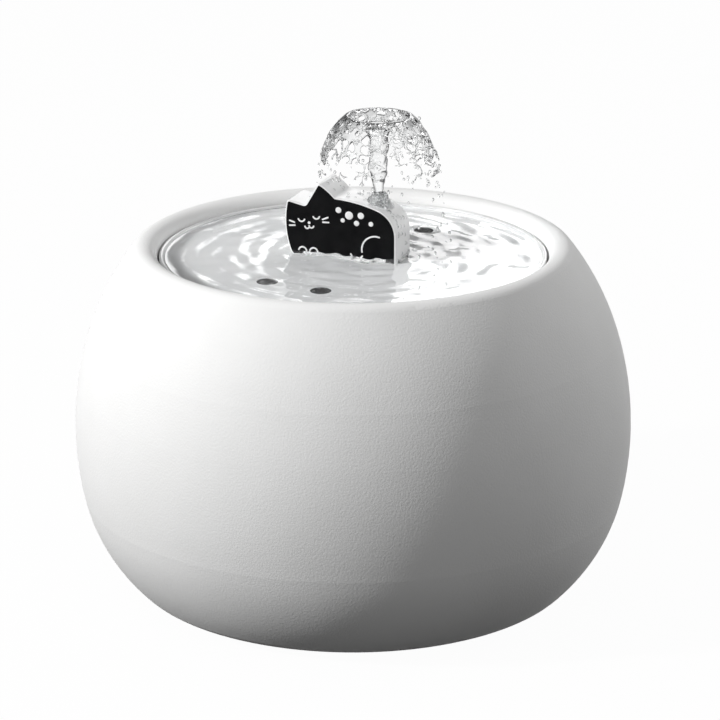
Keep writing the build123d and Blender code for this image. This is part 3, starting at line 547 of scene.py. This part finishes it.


# The second colour of each is painted edge shade: near black on the spray and the jet, pale grey on the
# pool.
spray_water = water_finish("spray_water", (0.97, 0.975, 0.975), (0.03, 0.03, 0.032), 0.18, 0.75)
relief(spray_water, 0.06, pattern(spray_water, "noise", 1.6))
polish(spray_water, 0.0, 0.04, pattern(spray_water, "noise", 2.5))
jet_water = water_finish("jet_water", (0.96, 0.965, 0.965), (0.005, 0.005, 0.006), 0.18, 0.60)
relief(jet_water, 0.18, pattern(jet_water, "noise", 2.0))
polish(jet_water, 0.0, 0.04, pattern(jet_water, "noise", 2.5))
pool_water = water_finish("pool_water", (0.955, 0.96, 0.965), (0.80, 0.81, 0.82), 0.60, 1.0,
                          clearness=0.92)
relief(pool_water, 0.05, pattern(pool_water, "noise", 5.0, 1.0))
polish(pool_water, 0.0, 0.03, pattern(pool_water, "noise", 6.0))
print("finishes:", len(bpy.data.materials))

# %% [markdown]
# ## Two helpers for new pieces
# All new pieces are shaped in millimetres. `add_piece` brings one down to metres and puts it on
# the body that it moves with. Water is never regular, and `wave` gives the irregularity: smooth
# noise of a given height and size, where the seed picks a different stretch of the same noise.

# %% Piece helpers
def add_piece(name, bm, material, body):
    """Makes a bmesh in millimetres a named piece that rides on a CAD body."""
    bmesh.ops.scale(bm, vec=(MM, MM, MM), verts=bm.verts)
    mesh = bpy.data.meshes.new(name)
    bm.to_mesh(mesh)
    bm.free()
    mesh.materials.append(material)
    mesh.polygons.foreach_set("use_smooth", [True] * len(mesh.polygons))
    piece = bpy.data.objects.new(name, mesh)
    bpy.context.scene.collection.objects.link(piece)
    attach(piece, body)
    print(name, len(mesh.polygons), "faces")
    return piece


def wave(place, high, size, seed):
    """Smooth noise between -high and high at a place, with one bump every size."""
    x, y, z = place
    return high * noise.noise(Vector((x / size + seed, y / size - seed, z / size + 2 * seed)))


# %% [markdown]
# ## The pool on the tray
# The spray falls into a shallow pool that runs round the cat and away through four drains. Its
# top is one sheet between two loops, the figure's footprint and the tray's rim. The footprint
# is an oblong with round corners, which a circle becomes when its points are pushed out by the
# formula of a superellipse.

# %% Where the pool ends
RIM_WALL = 1.7
RIM_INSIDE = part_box("tray")[1].x / MM - RIM_WALL
WATER_DEPTH = 2.2
WATER_LEVEL = TRAY_FLOOR + WATER_DEPTH
JET_X = 9.0
FACE_TURN = math.radians(-20)
ALONG = Vector((math.cos(FACE_TURN), math.sin(FACE_TURN), 0))
OUTWARD = Vector((math.sin(FACE_TURN), -math.cos(FACE_TURN), 0))
FOOT_LEFT_OF_JET = 30.2
FACE_AHEAD_OF_JET = 6.85
LEFT_FOOT = Vector((JET_X, 0, TRAY_FLOOR)) - ALONG * FOOT_LEFT_OF_JET + OUTWARD * FACE_AHEAD_OF_JET
HALF_FIGURE = 19.75
HALF_SLAB = 7.65
FOOTPRINT = (19.8, 7.9)
CORNER_SHARPNESS = 7.0

sole_middle = LEFT_FOOT + ALONG * HALF_FIGURE - OUTWARD * HALF_SLAB
sole_middle.z = 0


def footprint_point(angle):
    """A point on the rounded oblong that the figure's sole covers, seen from its middle."""
    x, y = math.cos(angle), math.sin(angle)
    along, back = (abs(share) / half for share, half in zip((x, y), FOOTPRINT))
    reach = 1.0 / (along ** CORNER_SHARPNESS + back ** CORNER_SHARPNESS) ** (1 / CORNER_SHARPNESS)
    return x * reach, y * reach


print("pool between the sole at", [round(c, 1) for c in sole_middle], "and radius", round(RIM_INSIDE, 1))

# %% [markdown]
# ## Its ripples
# Several kinds of wave meet on the pool: fine rings from the figure, rings from where the spray
# lands, swells of three sizes, and long arcs that follow the rim. Close to the figure the water
# is choppy and climbs its sides, and at the rim it climbs a little. Over each drain the sheet
# is calm and leans toward the viewer, so that the drain is seen through it. Heights and sizes
# are in millimetres.

# %% Ripples
BODY_HALF_LENGTH = 19.4
BODY_HALF_DEPTH = 7.7
RIM_CALM = 4.0
RIM_CLIMB = 0.25
CLIMB_REACH = 0.9
SEEN_AHEAD = 2.2
CALM_RADIUS = 5.2
FRONT_LEAN = 0.05
BACK_LEAN = 0.18


def fading(distance, reach):
    return math.exp(-distance / reach)


def belt(distance, middle, width):
    """1 at the middle of a belt, falling off to both sides."""
    return math.exp(-((distance - middle) / width) ** 2)


def rings(distance, high, gap, twist):
    return high * math.sin(distance / gap + twist)


def rim_arcs(x, y, high=0.31, spread=3.2, gap=4.6):
    """Long waves that follow the rim: noise that changes outwards more than round about."""
    out = math.hypot(x, y)
    return high * noise.noise(Vector((spread * x / (out + 1), spread * y / (out + 1), out / gap)))


def beyond_figure(x, y):
    """How far a point lies outside the figure's body."""
    local = Vector((x, y, 0)) - sole_middle
    along = max(abs(local.dot(ALONG)) - BODY_HALF_LENGTH, 0)
    back = max(abs(local.dot(OUTWARD)) - BODY_HALF_DEPTH, 0)
    return math.hypot(along, back)


def ripples(x, y):
    """The waves of the open pool, before the rim and the drains calm them."""
    place = (x, y, 0)
    from_cat = beyond_figure(x, y)
    from_jet = math.hypot(x - JET_X, y)
    swirl = wave(place, high=1.0, size=18, seed=3.1)
    height = rings(from_cat, high=0.09 * fading(from_cat, 20), gap=1.5, twist=5 * swirl)
    height += rings(from_jet, high=0.08 * belt(from_jet, 30, 16), gap=1.4, twist=6 * swirl)
    height += wave(place, high=0.40, size=15, seed=7.7) + wave(place, high=0.18, size=7.5, seed=1.3)
    height += wave(place, high=0.03, size=3.2, seed=4.9)
    height += rim_arcs(x, y)
    choppy = 1.5 * fading(from_cat, 9) + 0.5 * belt(from_jet, 27, 7)
    height += wave(place, high=0.12 * choppy, size=3.4, seed=2.3)
    height += fading(from_cat, 1.3) * (0.6 + wave(place, high=1.0, size=3.6, seed=8.1))
    return height


def water_height(x, y):
    """How deep the water stands over the tray at a point."""
    from_rim = max(0.0, RIM_INSIDE - math.hypot(x, y))
    climb = RIM_CLIMB * fading(from_rim, CLIMB_REACH)
    surface = WATER_DEPTH + ripples(x, y) * min(1.0, from_rim / RIM_CALM) + climb
    for drain_x, drain_y in DRAINS:
        ahead = y - drain_y + SEEN_AHEAD
        calm = math.exp(-(math.hypot(x - drain_x, ahead) / CALM_RADIUS) ** 4)
        lean = FRONT_LEAN if drain_y < 0 else BACK_LEAN
        sheet_here = WATER_DEPTH + lean * ahead + wave((x, y, 0), high=0.12, size=3.8, seed=5.5)
        surface += calm * (sheet_here - surface)
    return surface


print("water over the first drain:", round(water_height(*DRAINS[0]), 2), "mm deep")

# %% [markdown]
# ## Its sheet
# `bridge_loops` joins the two loops and `subdivide_edges` gives the sheet enough rows for the
# ripples. Then the open edges are drawn down and bridged, which closes the pool as one body of
# water. Its underside lies inside the tray, out of sight.

# %% Pool
POOL_SIDES = 360
POOL_ROWS = 84
POOL_UNDERSIDE = TRAY_FLOOR - 4.8

bm = bmesh.new()
bmesh.ops.create_circle(bm, segments=POOL_SIDES, radius=RIM_INSIDE)
sole_ring = bmesh.ops.create_circle(bm, segments=POOL_SIDES, radius=1.0)["verts"]
figure_turn = Matrix.Rotation(FACE_TURN, 3, "Z")
for vert in sole_ring:
    heading = math.atan2(vert.co.y, vert.co.x)
    reach_x, reach_y = footprint_point(heading - FACE_TURN)
    vert.co = figure_turn @ Vector((reach_x, reach_y, 0)) + sole_middle
bmesh.ops.bridge_loops(bm, edges=bm.edges[:])
spokes = [e for e in bm.edges if len(e.link_faces) == 2]
bmesh.ops.subdivide_edges(bm, edges=spokes, cuts=POOL_ROWS, use_grid_fill=False)
for vert in bm.verts:
    vert.co.z = TRAY_FLOOR + water_height(vert.co.x, vert.co.y)
open_edges = [e for e in bm.edges if e.is_boundary]
wall = bmesh.ops.extrude_edge_only(bm, edges=open_edges)["geom"]
for vert in (g for g in wall if isinstance(g, bmesh.types.BMVert)):
    vert.co.z = POOL_UNDERSIDE
bottom_edges = [e for e in bm.edges if e.is_boundary]
bmesh.ops.bridge_loops(bm, edges=bottom_edges)
bmesh.ops.recalc_face_normals(bm, faces=bm.faces[:])
add_piece("pool_surface", bm, pool_water, "tray_set")

# %% [markdown]
# ## The column
# Water leaves the nozzle as a wobbling column. It is turned from an outline, as on a lathe:
# narrow at the nozzle, soon full, and flared where it spreads into the bell. Noise then pulls
# it out of round.

# %% Column
NOZZLE_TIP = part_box("water_nozzle")[1].z / MM
BELL_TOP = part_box("water_jet")[1].z / MM
COLUMN_ROWS = 60
COLUMN_SIDES = 56
COLUMN_ROOT = 0.6
COLUMN_TOP = BELL_TOP - 5.0
FOOT_RADIUS = 1.5
SWELLING = 1.7
SWELLING_RATE = 2.6
FLARE = 1.2
FLARE_FROM = 0.82
FLARE_SPAN = 0.18
DOUBLES_APART = 0.0005


def spin_outline(outline, steps, close=True):
    """Turns (radius, height) points about the Z axis, in millimetres."""
    bm = bmesh.new()
    chain = [bm.verts.new((r, 0, z)) for r, z in outline]
    edges = [bm.edges.new(pair) for pair in zip(chain, chain[1:])]
    bmesh.ops.spin(bm, geom=chain + edges, cent=(0, 0, 0), axis=(0, 0, 1), angle=math.tau,
                   steps=steps, use_merge=True)
    bmesh.ops.remove_doubles(bm, verts=bm.verts, dist=DOUBLES_APART)
    if close:
        holes = [e for e in bm.edges if e.is_boundary]
        if holes:
            bmesh.ops.holes_fill(bm, edges=holes, sides=0)
    bmesh.ops.recalc_face_normals(bm, faces=bm.faces[:])
    return bm


def column_point(share):
    """The column's (radius, height) at a share of the way up."""
    height = NOZZLE_TIP - COLUMN_ROOT + share * (COLUMN_TOP - NOZZLE_TIP + COLUMN_ROOT)
    full = min(1.0, share * SWELLING_RATE) ** 1.5
    flared = max(0.0, (share - FLARE_FROM) / FLARE_SPAN) ** 2
    return FOOT_RADIUS + SWELLING * full + FLARE * flared, height


bm = spin_outline([column_point(row / COLUMN_ROWS) for row in range(COLUMN_ROWS + 1)], COLUMN_SIDES)
for vert in bm.verts:
    x, y, z = place = tuple(vert.co)
    girth = 1.0 + wave(place, high=0.24, size=4.0, seed=2.2)
    girth += wave(place, high=0.16, size=2.0, seed=5.9)
    vert.co = (x * girth + JET_X, y * girth, z)
water_column = add_piece("water_column", bm, jet_water, "figure_set")
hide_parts("water_jet")

# %% [markdown]
# ## The bell's outline
# The column spreads at the top into a shallow dish and falls as a dome-shaped sheet. A few
# points of radius and height give its outline, and `along_line` runs a smooth curve through
# them (a Catmull-Rom spline, which passes through every point) in even steps.

# %% Bell outline
BELL_LINE = ((3.2, 171.6), (6.5, 172.0), (9.4, 173.2), (11.2, 174.0), (12.6, 173.2), (14.6, 171.0),
             (16.9, 167.4), (18.9, 163.0), (20.4, 158.6), (21.4, 154.2))
BELL_ROWS = 75
BELL_SIDES = 264


def spline_point(before, start, stop, after, share):
    """A point between start and stop on a smooth curve through four (radius, height) points."""
    return tuple(
        0.5 * (2 * start[k] + (stop[k] - before[k]) * share
               + (2 * before[k] - 5 * start[k] + 4 * stop[k] - after[k]) * share ** 2
               + (3 * start[k] - before[k] - 3 * stop[k] + after[k]) * share ** 3)
        for k in range(2))


def along_line(line, count):
    """Evenly spaced points on a smooth curve through the line's points."""
    spans = [math.dist(start, stop) for start, stop in zip(line, line[1:])]
    last = len(spans) - 1
    total = sum(spans)
    points = []
    for number in range(count + 1):
        wanted = total * number / count
        index = 0
        while index < last and wanted > spans[index]:
            wanted -= spans[index]
            index += 1
        before, after = line[max(index - 1, 0)], line[min(index + 2, last + 1)]
        share = min(wanted / spans[index], 1.0)
        points.append(spline_point(before, line[index], line[index + 1], after, share))
    return points


print("bell outline:", BELL_LINE[-1][0] * 2, "mm across at the hem")

# %% [markdown]
# ## The bell's lace
# On its way down the sheet tears into a lace of threads. Voronoi cells mark where: faces near
# a cell's border stay as a thread and faces in its middle go, more of them the lower they are.
# Crumbs of only a few faces go too. Smoothing the open edges rounds the holes, and Solidify
# and Subdivision Surface turn what is left into threads with thickness.

# %% Bell
DISH_RIM = 10.4
DISH_HEART = 4.4
BELL_SHOULDER = 12.2
BELL_CREST = 172.5
TEARING_SPAN = 14.4
LOOSENING_SPAN = 18.0
CELL_SIZE = 3.1
CELL_GROWTH = 1.5
CELL_WARP = 0.35
WARP_SIZE = 2.4
WARP_SEEDS = (9.1, 4.4, 6.5)
SMALLEST_SCRAP = 11
SHEET_THICKNESS = 0.75


def border_distance(place, fallen):
    """How far a place lies from the border between two cells, which grow on the way down."""
    x, y, z = place
    cell = CELL_SIZE + CELL_GROWTH * fallen
    lookup = Vector((x / cell, y / cell, z / CELL_SIZE))
    lookup += CELL_WARP * Vector([wave(place, 1.0, WARP_SIZE, seed) for seed in WARP_SEEDS])
    near, second = noise.voronoi(lookup)[0][:2]
    return second - near


def is_torn(place):
    """Whether the sheet has a hole at a place: farther from a border than the thread is wide."""
    fallen = min(1.0, max(0.0, (BELL_CREST - place[2]) / TEARING_SPAN))
    if math.hypot(place[0], place[1]) < DISH_RIM:
        thread = 0.04 + wave(place, high=0.12, size=4.0, seed=5.2)
    else:
        thread = 0.30 - 0.24 * fallen + wave(place, high=0.27 - 0.08 * fallen, size=7.0, seed=8.8)
    return border_distance(place, fallen) - thread > 0


def scraps(bm):
    """Sorts the faces into scraps that hang together by their edges."""
    found, seen = [], set()
    for face in bm.faces:
        if face in seen:
            continue
        scrap, queue = [], [face]
        seen.add(face)
        while queue:
            here = queue.pop()
            scrap.append(here)
            for other in (other for edge in here.edges for other in edge.link_faces):
                if other not in seen:
                    seen.add(other)
                    queue.append(other)
        found.append(scrap)
    return found


bm = spin_outline(along_line(BELL_LINE, BELL_ROWS), BELL_SIDES, close=False)
for vert in bm.verts:
    x, y, z = place = tuple(vert.co)
    fallen = max(0.0, (BELL_CREST - z) / LOOSENING_SPAN)
    push = wave(place, high=0.35 + 1.1 * fallen, size=7.0, seed=1.7)
    push += wave(place, high=0.25, size=2.2, seed=3.3)
    stretch = 1 + push / math.hypot(x, y)
    sag = wave((x, y, 0), high=0.8 * fallen, size=5.0, seed=6.1)
    vert.co = (x * stretch, y * stretch, z + sag)
gone = []
for face in bm.faces:
    place = tuple(face.calc_center_median())
    flat = math.hypot(place[0], place[1])
    can_tear = flat > BELL_SHOULDER or DISH_HEART < flat < DISH_RIM
    if can_tear and is_torn(place):
        gone.append(face)
bmesh.ops.delete(bm, geom=gone, context="FACES")
crumbs = [face for scrap in scraps(bm) if len(scrap) < SMALLEST_SCRAP for face in scrap]
bmesh.ops.delete(bm, geom=crumbs, context="FACES")
for _ in range(4):
    bmesh.ops.smooth_vert(bm, verts=[v for v in bm.verts if v.is_boundary], factor=0.5,
                          use_axis_x=True, use_axis_y=True, use_axis_z=True)
bmesh.ops.translate(bm, vec=(JET_X, 0, 0), verts=bm.verts)
bell = add_piece("water_bell", bm, spray_water, "figure_set")
thickness = bell.modifiers.new("sheet_thickness", "SOLIDIFY")
thickness.thickness = SHEET_THICKNESS * MM
thickness.offset = 0.0
rounding = bell.modifiers.new("rounded_threads", "SUBSURF")
rounding.levels = rounding.render_levels = 1

# %% [markdown]
# ## Drops
# Below the torn hem the water falls as separate drops, and more of them ride on the dome. A few
# bubbles float in front of the figure. One small ball is made with `create_uvsphere` for each,
# and most are stretched a little along their fall. The random draws come from one seeded
# source, so the spray is the same each time.

# %% Drops
DOME_DROPS = 90
FALLING_DROPS = 150
BUBBLES = 18
HEM_RADIUS = 21.2
HEM_HEIGHT = 156.0
SPRAY_SPREAD = 4.6
KEPT_CLEAR = (-20, 22)
CLEAR_BELOW = 152

draws = random.Random(41)


def add_drop(bm, x, y, z, radius, stretch):
    place = Matrix.Translation((x, y, z)) @ Matrix.Rotation(draws.uniform(0, math.pi), 4, "Z")
    size = Matrix.Diagonal((radius, radius, radius * stretch, 1))
    bmesh.ops.create_uvsphere(bm, u_segments=8, v_segments=6, radius=1.0, matrix=place @ size)


bm = bmesh.new()
dome = along_line(BELL_LINE, 40)[14:]
for _ in range(DOME_DROPS):
    angle = draws.uniform(0, math.tau)
    radius_at, z = draws.choice(dome)
    out = radius_at + draws.uniform(-0.5, 0.8)
    add_drop(bm, JET_X + out * math.cos(angle), out * math.sin(angle), z + draws.uniform(-0.8, 0.8),
             draws.uniform(0.2, 0.6), draws.uniform(0.9, 1.4))
for _ in range(FALLING_DROPS):
    angle = draws.uniform(0, math.tau)
    fall = draws.random() ** 1.4
    out = HEM_RADIUS + SPRAY_SPREAD * fall + draws.uniform(-1.2, 1.2)
    z = HEM_HEIGHT - fall * (HEM_HEIGHT - WATER_LEVEL - 1.0)
    x, y = JET_X + out * math.cos(angle), out * math.sin(angle)
    before_figure = y < 0 and KEPT_CLEAR[0] < x < KEPT_CLEAR[1]
    if before_figure and z < CLEAR_BELOW:
        continue
    add_drop(bm, x, y, z, draws.uniform(0.18, 0.55), draws.uniform(1.0, 1.7))
for _ in range(BUBBLES):
    bubble = LEFT_FOOT + ALONG * draws.uniform(25, 41) + OUTWARD * draws.uniform(1.2, 4.0)
    bubble.z = TRAY_FLOOR + water_height(bubble.x, bubble.y) + 0.2
    add_drop(bm, bubble.x, bubble.y, bubble.z, draws.uniform(0.2, 0.5), 0.9)
add_piece("water_drops", bm, spray_water, "figure_set")

# %% [markdown]
# ## Beads on the figure
# Beads of water cling to the glaze. A ray cast down or sideways onto a copy of the figure finds
# where each bead sits, and the surface normal there says which way it bulges.

# %% Beads
SIDE_BEADS = 26
TOP_BEADS = 30
BEAD_BULGE = 0.55
BESIDE = 60
ABOVE = 45

figure_bm = bmesh.new()
figure_bm.from_mesh(nodes["cat_figure"].data)
figure_tree = BVHTree.FromBMesh(figure_bm)
figure_bm.free()


def add_bead(bm, start, heading, radius):
    """Casts a ray at the figure and sets a flattened ball where it lands."""
    hit, normal, _, _ = figure_tree.ray_cast(Vector(start) * MM, Vector(heading).normalized())
    if hit is None:
        return
    turn = normal.to_track_quat("Z", "Y").to_matrix().to_4x4()
    bulge = Matrix.Diagonal((radius, radius, radius * BEAD_BULGE, 1))
    place = Matrix.Translation(hit / MM) @ turn @ bulge
    bmesh.ops.create_uvsphere(bm, u_segments=10, v_segments=6, radius=1.0, matrix=place)


bm = bmesh.new()
for _ in range(SIDE_BEADS):
    height = TRAY_FLOOR + draws.uniform(3.5, 19)
    side = draws.uniform(-6.8, 6.8)
    start = LEFT_FOOT + ALONG * BESIDE - OUTWARD * (HALF_SLAB + side)
    start.z = height
    add_bead(bm, start, -ALONG + Vector((0, 0, draws.uniform(-0.1, 0.1))), draws.uniform(0.35, 0.8))
for _ in range(TOP_BEADS):
    start = LEFT_FOOT + ALONG * draws.uniform(2, 38) - OUTWARD * draws.uniform(1.5, 14.5)
    start.z = TRAY_FLOOR + ABOVE
    add_bead(bm, start, (0, 0, -1), draws.uniform(0.3, 0.8))
add_piece("figure_beads", bm, spray_water, "figure_set")

# %% [markdown]
# ## The swell at the nozzle
# Some water wells up round the nozzle and runs off it in three lobes. It is turned from an
# outline as the column is, and then pushed out by a sine round its axis and by noise.

# %% Nozzle swell
SWELL_OUTLINE = ((0, 0.4), (1.6, 0.4), (2.7, -0.4), (3.2, -1.6), (3.9, -2.9), (4.5, -4.0), (4.2, -5.6),
                 (0, -5.6))
LOBES = 3
LOBE_DEPTH = 0.22
LOBE_TURN = 0.6

swell_line = [(radius, NOZZLE_TIP + over_tip) for radius, over_tip in SWELL_OUTLINE]
bm = spin_outline(along_line(swell_line, 30), 48)
for vert in bm.verts:
    x, y, z = place = tuple(vert.co)
    lobed = 1.0 + LOBE_DEPTH * math.sin(LOBES * math.atan2(y, x) + LOBE_TURN)
    lobed += wave(place, high=0.30, size=3.0, seed=2.9)
    vert.co = (x * lobed + JET_X, y * lobed, z + wave((x, y, 0), high=0.5, size=2.2, seed=7.2))
add_piece("nozzle_swell", bm, pool_water, "figure_set")

# %% [markdown]
# ## The print on the cat
# The figure's black front carries a white line drawing in raised enamel. Each stroke is a
# curve with a round bevel, drawn flat as (along, up) on the face, then pressed to a third of
# its height and laid on the face. Spots are flattened balls. The drawing is a plain sleeping
# cat: closed eyes, nose and mouth, whiskers, paws, haunch, a curl of tail and round spots.

# %% Print finish
enamel = finish("white_enamel_print", (0.84, 0.84, 0.84), 0.35)
tint(enamel, (0.80, 0.80, 0.80), (0.87, 0.87, 0.87), pattern(enamel, "noise", 1.5))
polish(enamel, 0.28, 0.45, pattern(enamel, "noise", 0.8))
relief(enamel, 0.02, pattern(enamel, "noise", 0.5))
print("enamel ready")

# %% Drawing
STROKE_RADIUS = 0.30
SPOT_RISE = 0.28
PRESSED = 0.35


def arc_points(centre, radius, start, end, count=9):
    """Points on an arc round a centre, with its angles in degrees."""
    angles = [math.radians(start + (end - start) * k / (count - 1)) for k in range(count)]
    return [(centre[0] + radius * math.cos(a), centre[1] + radius * math.sin(a)) for a in angles]


EYES = [arc_points((3.6, 15.0), 1.25, 200, 340), arc_points((9.2, 16.4), 1.25, 205, 345)]
MOUTH = [arc_points((5.75, 12.2), 0.85, 190, 350, 7), arc_points((7.35, 12.5), 0.85, 190, 350, 7)]
WHISKERS = [[(0.9, 13.2), (-0.9, 13.7)], [(1.1, 12.1), (-0.9, 11.9)],
            [(11.6, 15.2), (13.6, 16.1)], [(11.7, 14.2), (13.9, 14.3)]]
PAWS = [arc_points((4.0, 2.9), 1.5, 15, 165), arc_points((8.2, 2.9), 1.5, 15, 165)]
HAUNCH = [arc_points((31.6, 5.6), 5.2, 75, 190, 15)]
TAIL = [arc_points((24.5, 4.4), 2.4, 200, 330)]
STROKES = EYES + MOUTH + WHISKERS + PAWS + HAUNCH + TAIL
NOSE = ((6.5, 13.5), 0.55)
SPOTS = [((17.6, 19.2), 1.1), ((21.6, 17.6), 1.5), ((26.0, 17.9), 1.2), ((19.2, 15.6), 0.8),
         ((24.4, 15.0), 1.0), ((29.8, 15.2), 0.9), NOSE]
print("drawing:", len(STROKES), "strokes and", len(SPOTS), "spots")

# %% Print
print_curve = bpy.data.curves.new("print_strokes", "CURVE")
print_curve.dimensions = "3D"
print_curve.bevel_depth = STROKE_RADIUS
print_curve.bevel_resolution = 3
print_curve.use_fill_caps = True
for stroke in STROKES:
    line = print_curve.splines.new("POLY")
    line.points.add(len(stroke) - 1)
    for point, (along, up) in zip(line.points, stroke):
        point.co = (along, up, 0, 1)
holder = bpy.data.objects.new("print_strokes", print_curve)
bpy.context.scene.collection.objects.link(holder)
stroke_mesh = bpy.data.meshes.new_from_object(holder)
bpy.data.objects.remove(holder)
bm = bmesh.new()
bm.from_mesh(stroke_mesh)
for along, up in (end for stroke in STROKES for end in (stroke[0], stroke[-1])):
    bmesh.ops.create_uvsphere(bm, u_segments=12, v_segments=8, radius=STROKE_RADIUS,
                              matrix=Matrix.Translation((along, up, 0)))
for (along, up), radius in SPOTS:
    flattened = Matrix.Diagonal((radius, radius, SPOT_RISE, 1))
    bmesh.ops.create_uvsphere(bm, u_segments=24, v_segments=10, radius=1.0,
                              matrix=Matrix.Translation((along, up, 0)) @ flattened)
onto_face = Matrix.Identity(4)
for column, axis in enumerate((ALONG, (0, 0, 1), OUTWARD, LEFT_FOOT)):
    onto_face.col[column][:3] = axis
bmesh.ops.transform(bm, matrix=onto_face @ Matrix.Diagonal((1, 1, PRESSED, 1)), verts=bm.verts)
bmesh.ops.recalc_face_normals(bm, faces=bm.faces[:])
add_piece("cat_print", bm, enamel, "figure_set")

# %% [markdown]
# ## Filter cotton
# The cotton is a needled pad that swells between the case and its hub, so a plain solid would
# look wrong. It is a ring spun from a rounded outline. The hub stands on the jet's axis and the
# case on the bowl's, so the ring's inside is slid over and its outside stays. Noise roughens
# its faces, and its fibres are in the finish.

# %% Cotton pad
HUB_RADIUS = 8.7
FLAT_AT = 28.0
OUTLINE_STEPS = 70
COTTON_SIDES = 140
COTTON_PRESSED = 0.93
COTTON_LUMPS = 0.06

cotton = finish("needled_cotton", (0.84, 0.84, 0.82), 0.92, Sheen_Weight=0.4)
tint(cotton, (0.74, 0.74, 0.71), (0.88, 0.88, 0.86), pattern(cotton, "noise", 1.2, 6.0))
polish(cotton, 0.85, 1.0, pattern(cotton, "noise", 2.0))
relief(cotton, 0.35, pattern(cotton, "noise", 0.5, 6.0, stretch=(1, 0.4, 1)))
cotton_low, cotton_high = (corner.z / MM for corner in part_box("filter_cotton"))
cotton_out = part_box("filter_cotton")[1].x / MM
cotton_line = [(HUB_RADIUS, cotton_low + 0.4), (9.4, cotton_low + 0.05), (FLAT_AT, cotton_low + 0.02),
               (cotton_out - 1.4, cotton_low + 0.05), (cotton_out - 0.1, cotton_low + 1.0),
               (cotton_out - 0.1, cotton_high - 1.0), (cotton_out - 1.4, cotton_high - 0.15),
               (FLAT_AT, cotton_high - 0.05), (9.4, cotton_high - 0.2),
               (HUB_RADIUS, cotton_high - 0.9), (HUB_RADIUS, cotton_low + 0.4)]
bm = bmesh.new()
chain = [bm.verts.new((r, 0, z)) for r, z in along_line(cotton_line, OUTLINE_STEPS)[:-1]]
edges = [bm.edges.new(pair) for pair in zip(chain, chain[1:] + chain[:1])]
bmesh.ops.spin(bm, geom=chain + edges, cent=(0, 0, 0), axis=(0, 0, 1), angle=math.tau,
               steps=COTTON_SIDES, use_merge=True)
bmesh.ops.remove_doubles(bm, verts=bm.verts, dist=DOUBLES_APART)
bmesh.ops.recalc_face_normals(bm, faces=bm.faces[:])
pad_middle = (cotton_low + cotton_high) / 2
pad_width = cotton_out - HUB_RADIUS - 0.1
for vert in bm.verts:
    x, y, z = place = tuple(vert.co)
    slide = JET_X * (1 - (math.hypot(x, y) - HUB_RADIUS) / pad_width)
    puffed = COTTON_PRESSED + wave(place, high=COTTON_LUMPS, size=3.0, seed=4.8)
    vert.co = (x + slide, y, pad_middle + (z - pad_middle) * puffed)
cotton_pad = add_piece("cotton_pad", bm, cotton, "filter_set")
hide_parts("filter_cotton")

# %% [markdown]
# ## Intake sponge
# A block of open foam fills the intake cover. It starts as a cube. Bevels round its four long
# corners first and then both its ends, and noise makes its faces a little uneven. The pores
# are in the finish: dark pits between paler struts, from a cell texture.

# %% Sponge
SPONGE_CLEARANCE = 0.2
SPONGE_CORNER = 4.2
SPONGE_EDGE = 0.8
LONG_EDGE = 1
SHARP_ANGLE = 1.2
SPONGE_SHRUNK = 0.985
SPONGE_LUMPS = 0.012

foam = finish("open_cell_foam", (0.035, 0.035, 0.036), 0.95, Sheen_Weight=0.2)
tint(foam, (0.008, 0.008, 0.008), (0.06, 0.06, 0.062), pattern(foam, "cells", 0.8), 0.15, 0.6)
polish(foam, 0.85, 1.0, pattern(foam, "noise", 1.0))
relief(foam, 0.45, pattern(foam, "cells", 0.8))


def round_off(bm, edges, offset, segments):
    bmesh.ops.bevel(bm, geom=edges, offset=offset, offset_type="OFFSET", affect="EDGES",
                    segments=segments, profile=0.5, material=-1, clamp_overlap=True)


sponge_low, sponge_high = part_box("intake_sponge")
sponge_size = (sponge_high - sponge_low) / MM
sponge_middle = (sponge_high + sponge_low) / 2 / MM
bm = bmesh.new()
block = Matrix.Diagonal((*(side - SPONGE_CLEARANCE for side in sponge_size), 1))
bmesh.ops.create_cube(bm, size=1.0, matrix=block)
round_off(bm, [e for e in bm.edges if abs((e.verts[0].co - e.verts[1].co).y) > LONG_EDGE],
          SPONGE_CORNER, segments=6)
round_off(bm, [e for e in bm.edges if len(e.link_faces) == 2 and e.calc_face_angle(0) > SHARP_ANGLE],
          SPONGE_EDGE, segments=3)
bmesh.ops.triangulate(bm, faces=bm.faces[:])
bmesh.ops.subdivide_edges(bm, edges=bm.edges[:], cuts=3, use_grid_fill=True)
for vert in bm.verts:
    vert.co *= SPONGE_SHRUNK + wave(vert.co, high=SPONGE_LUMPS, size=2.5, seed=3.7)
bmesh.ops.translate(bm, vec=sponge_middle, verts=bm.verts)
bmesh.ops.recalc_face_normals(bm, faces=bm.faces[:])
sponge = add_piece("intake_foam", bm, foam, "intake_set")
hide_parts("intake_sponge")

# %% [markdown]
# ## Finish

# %% Finish
print("scene dressed")
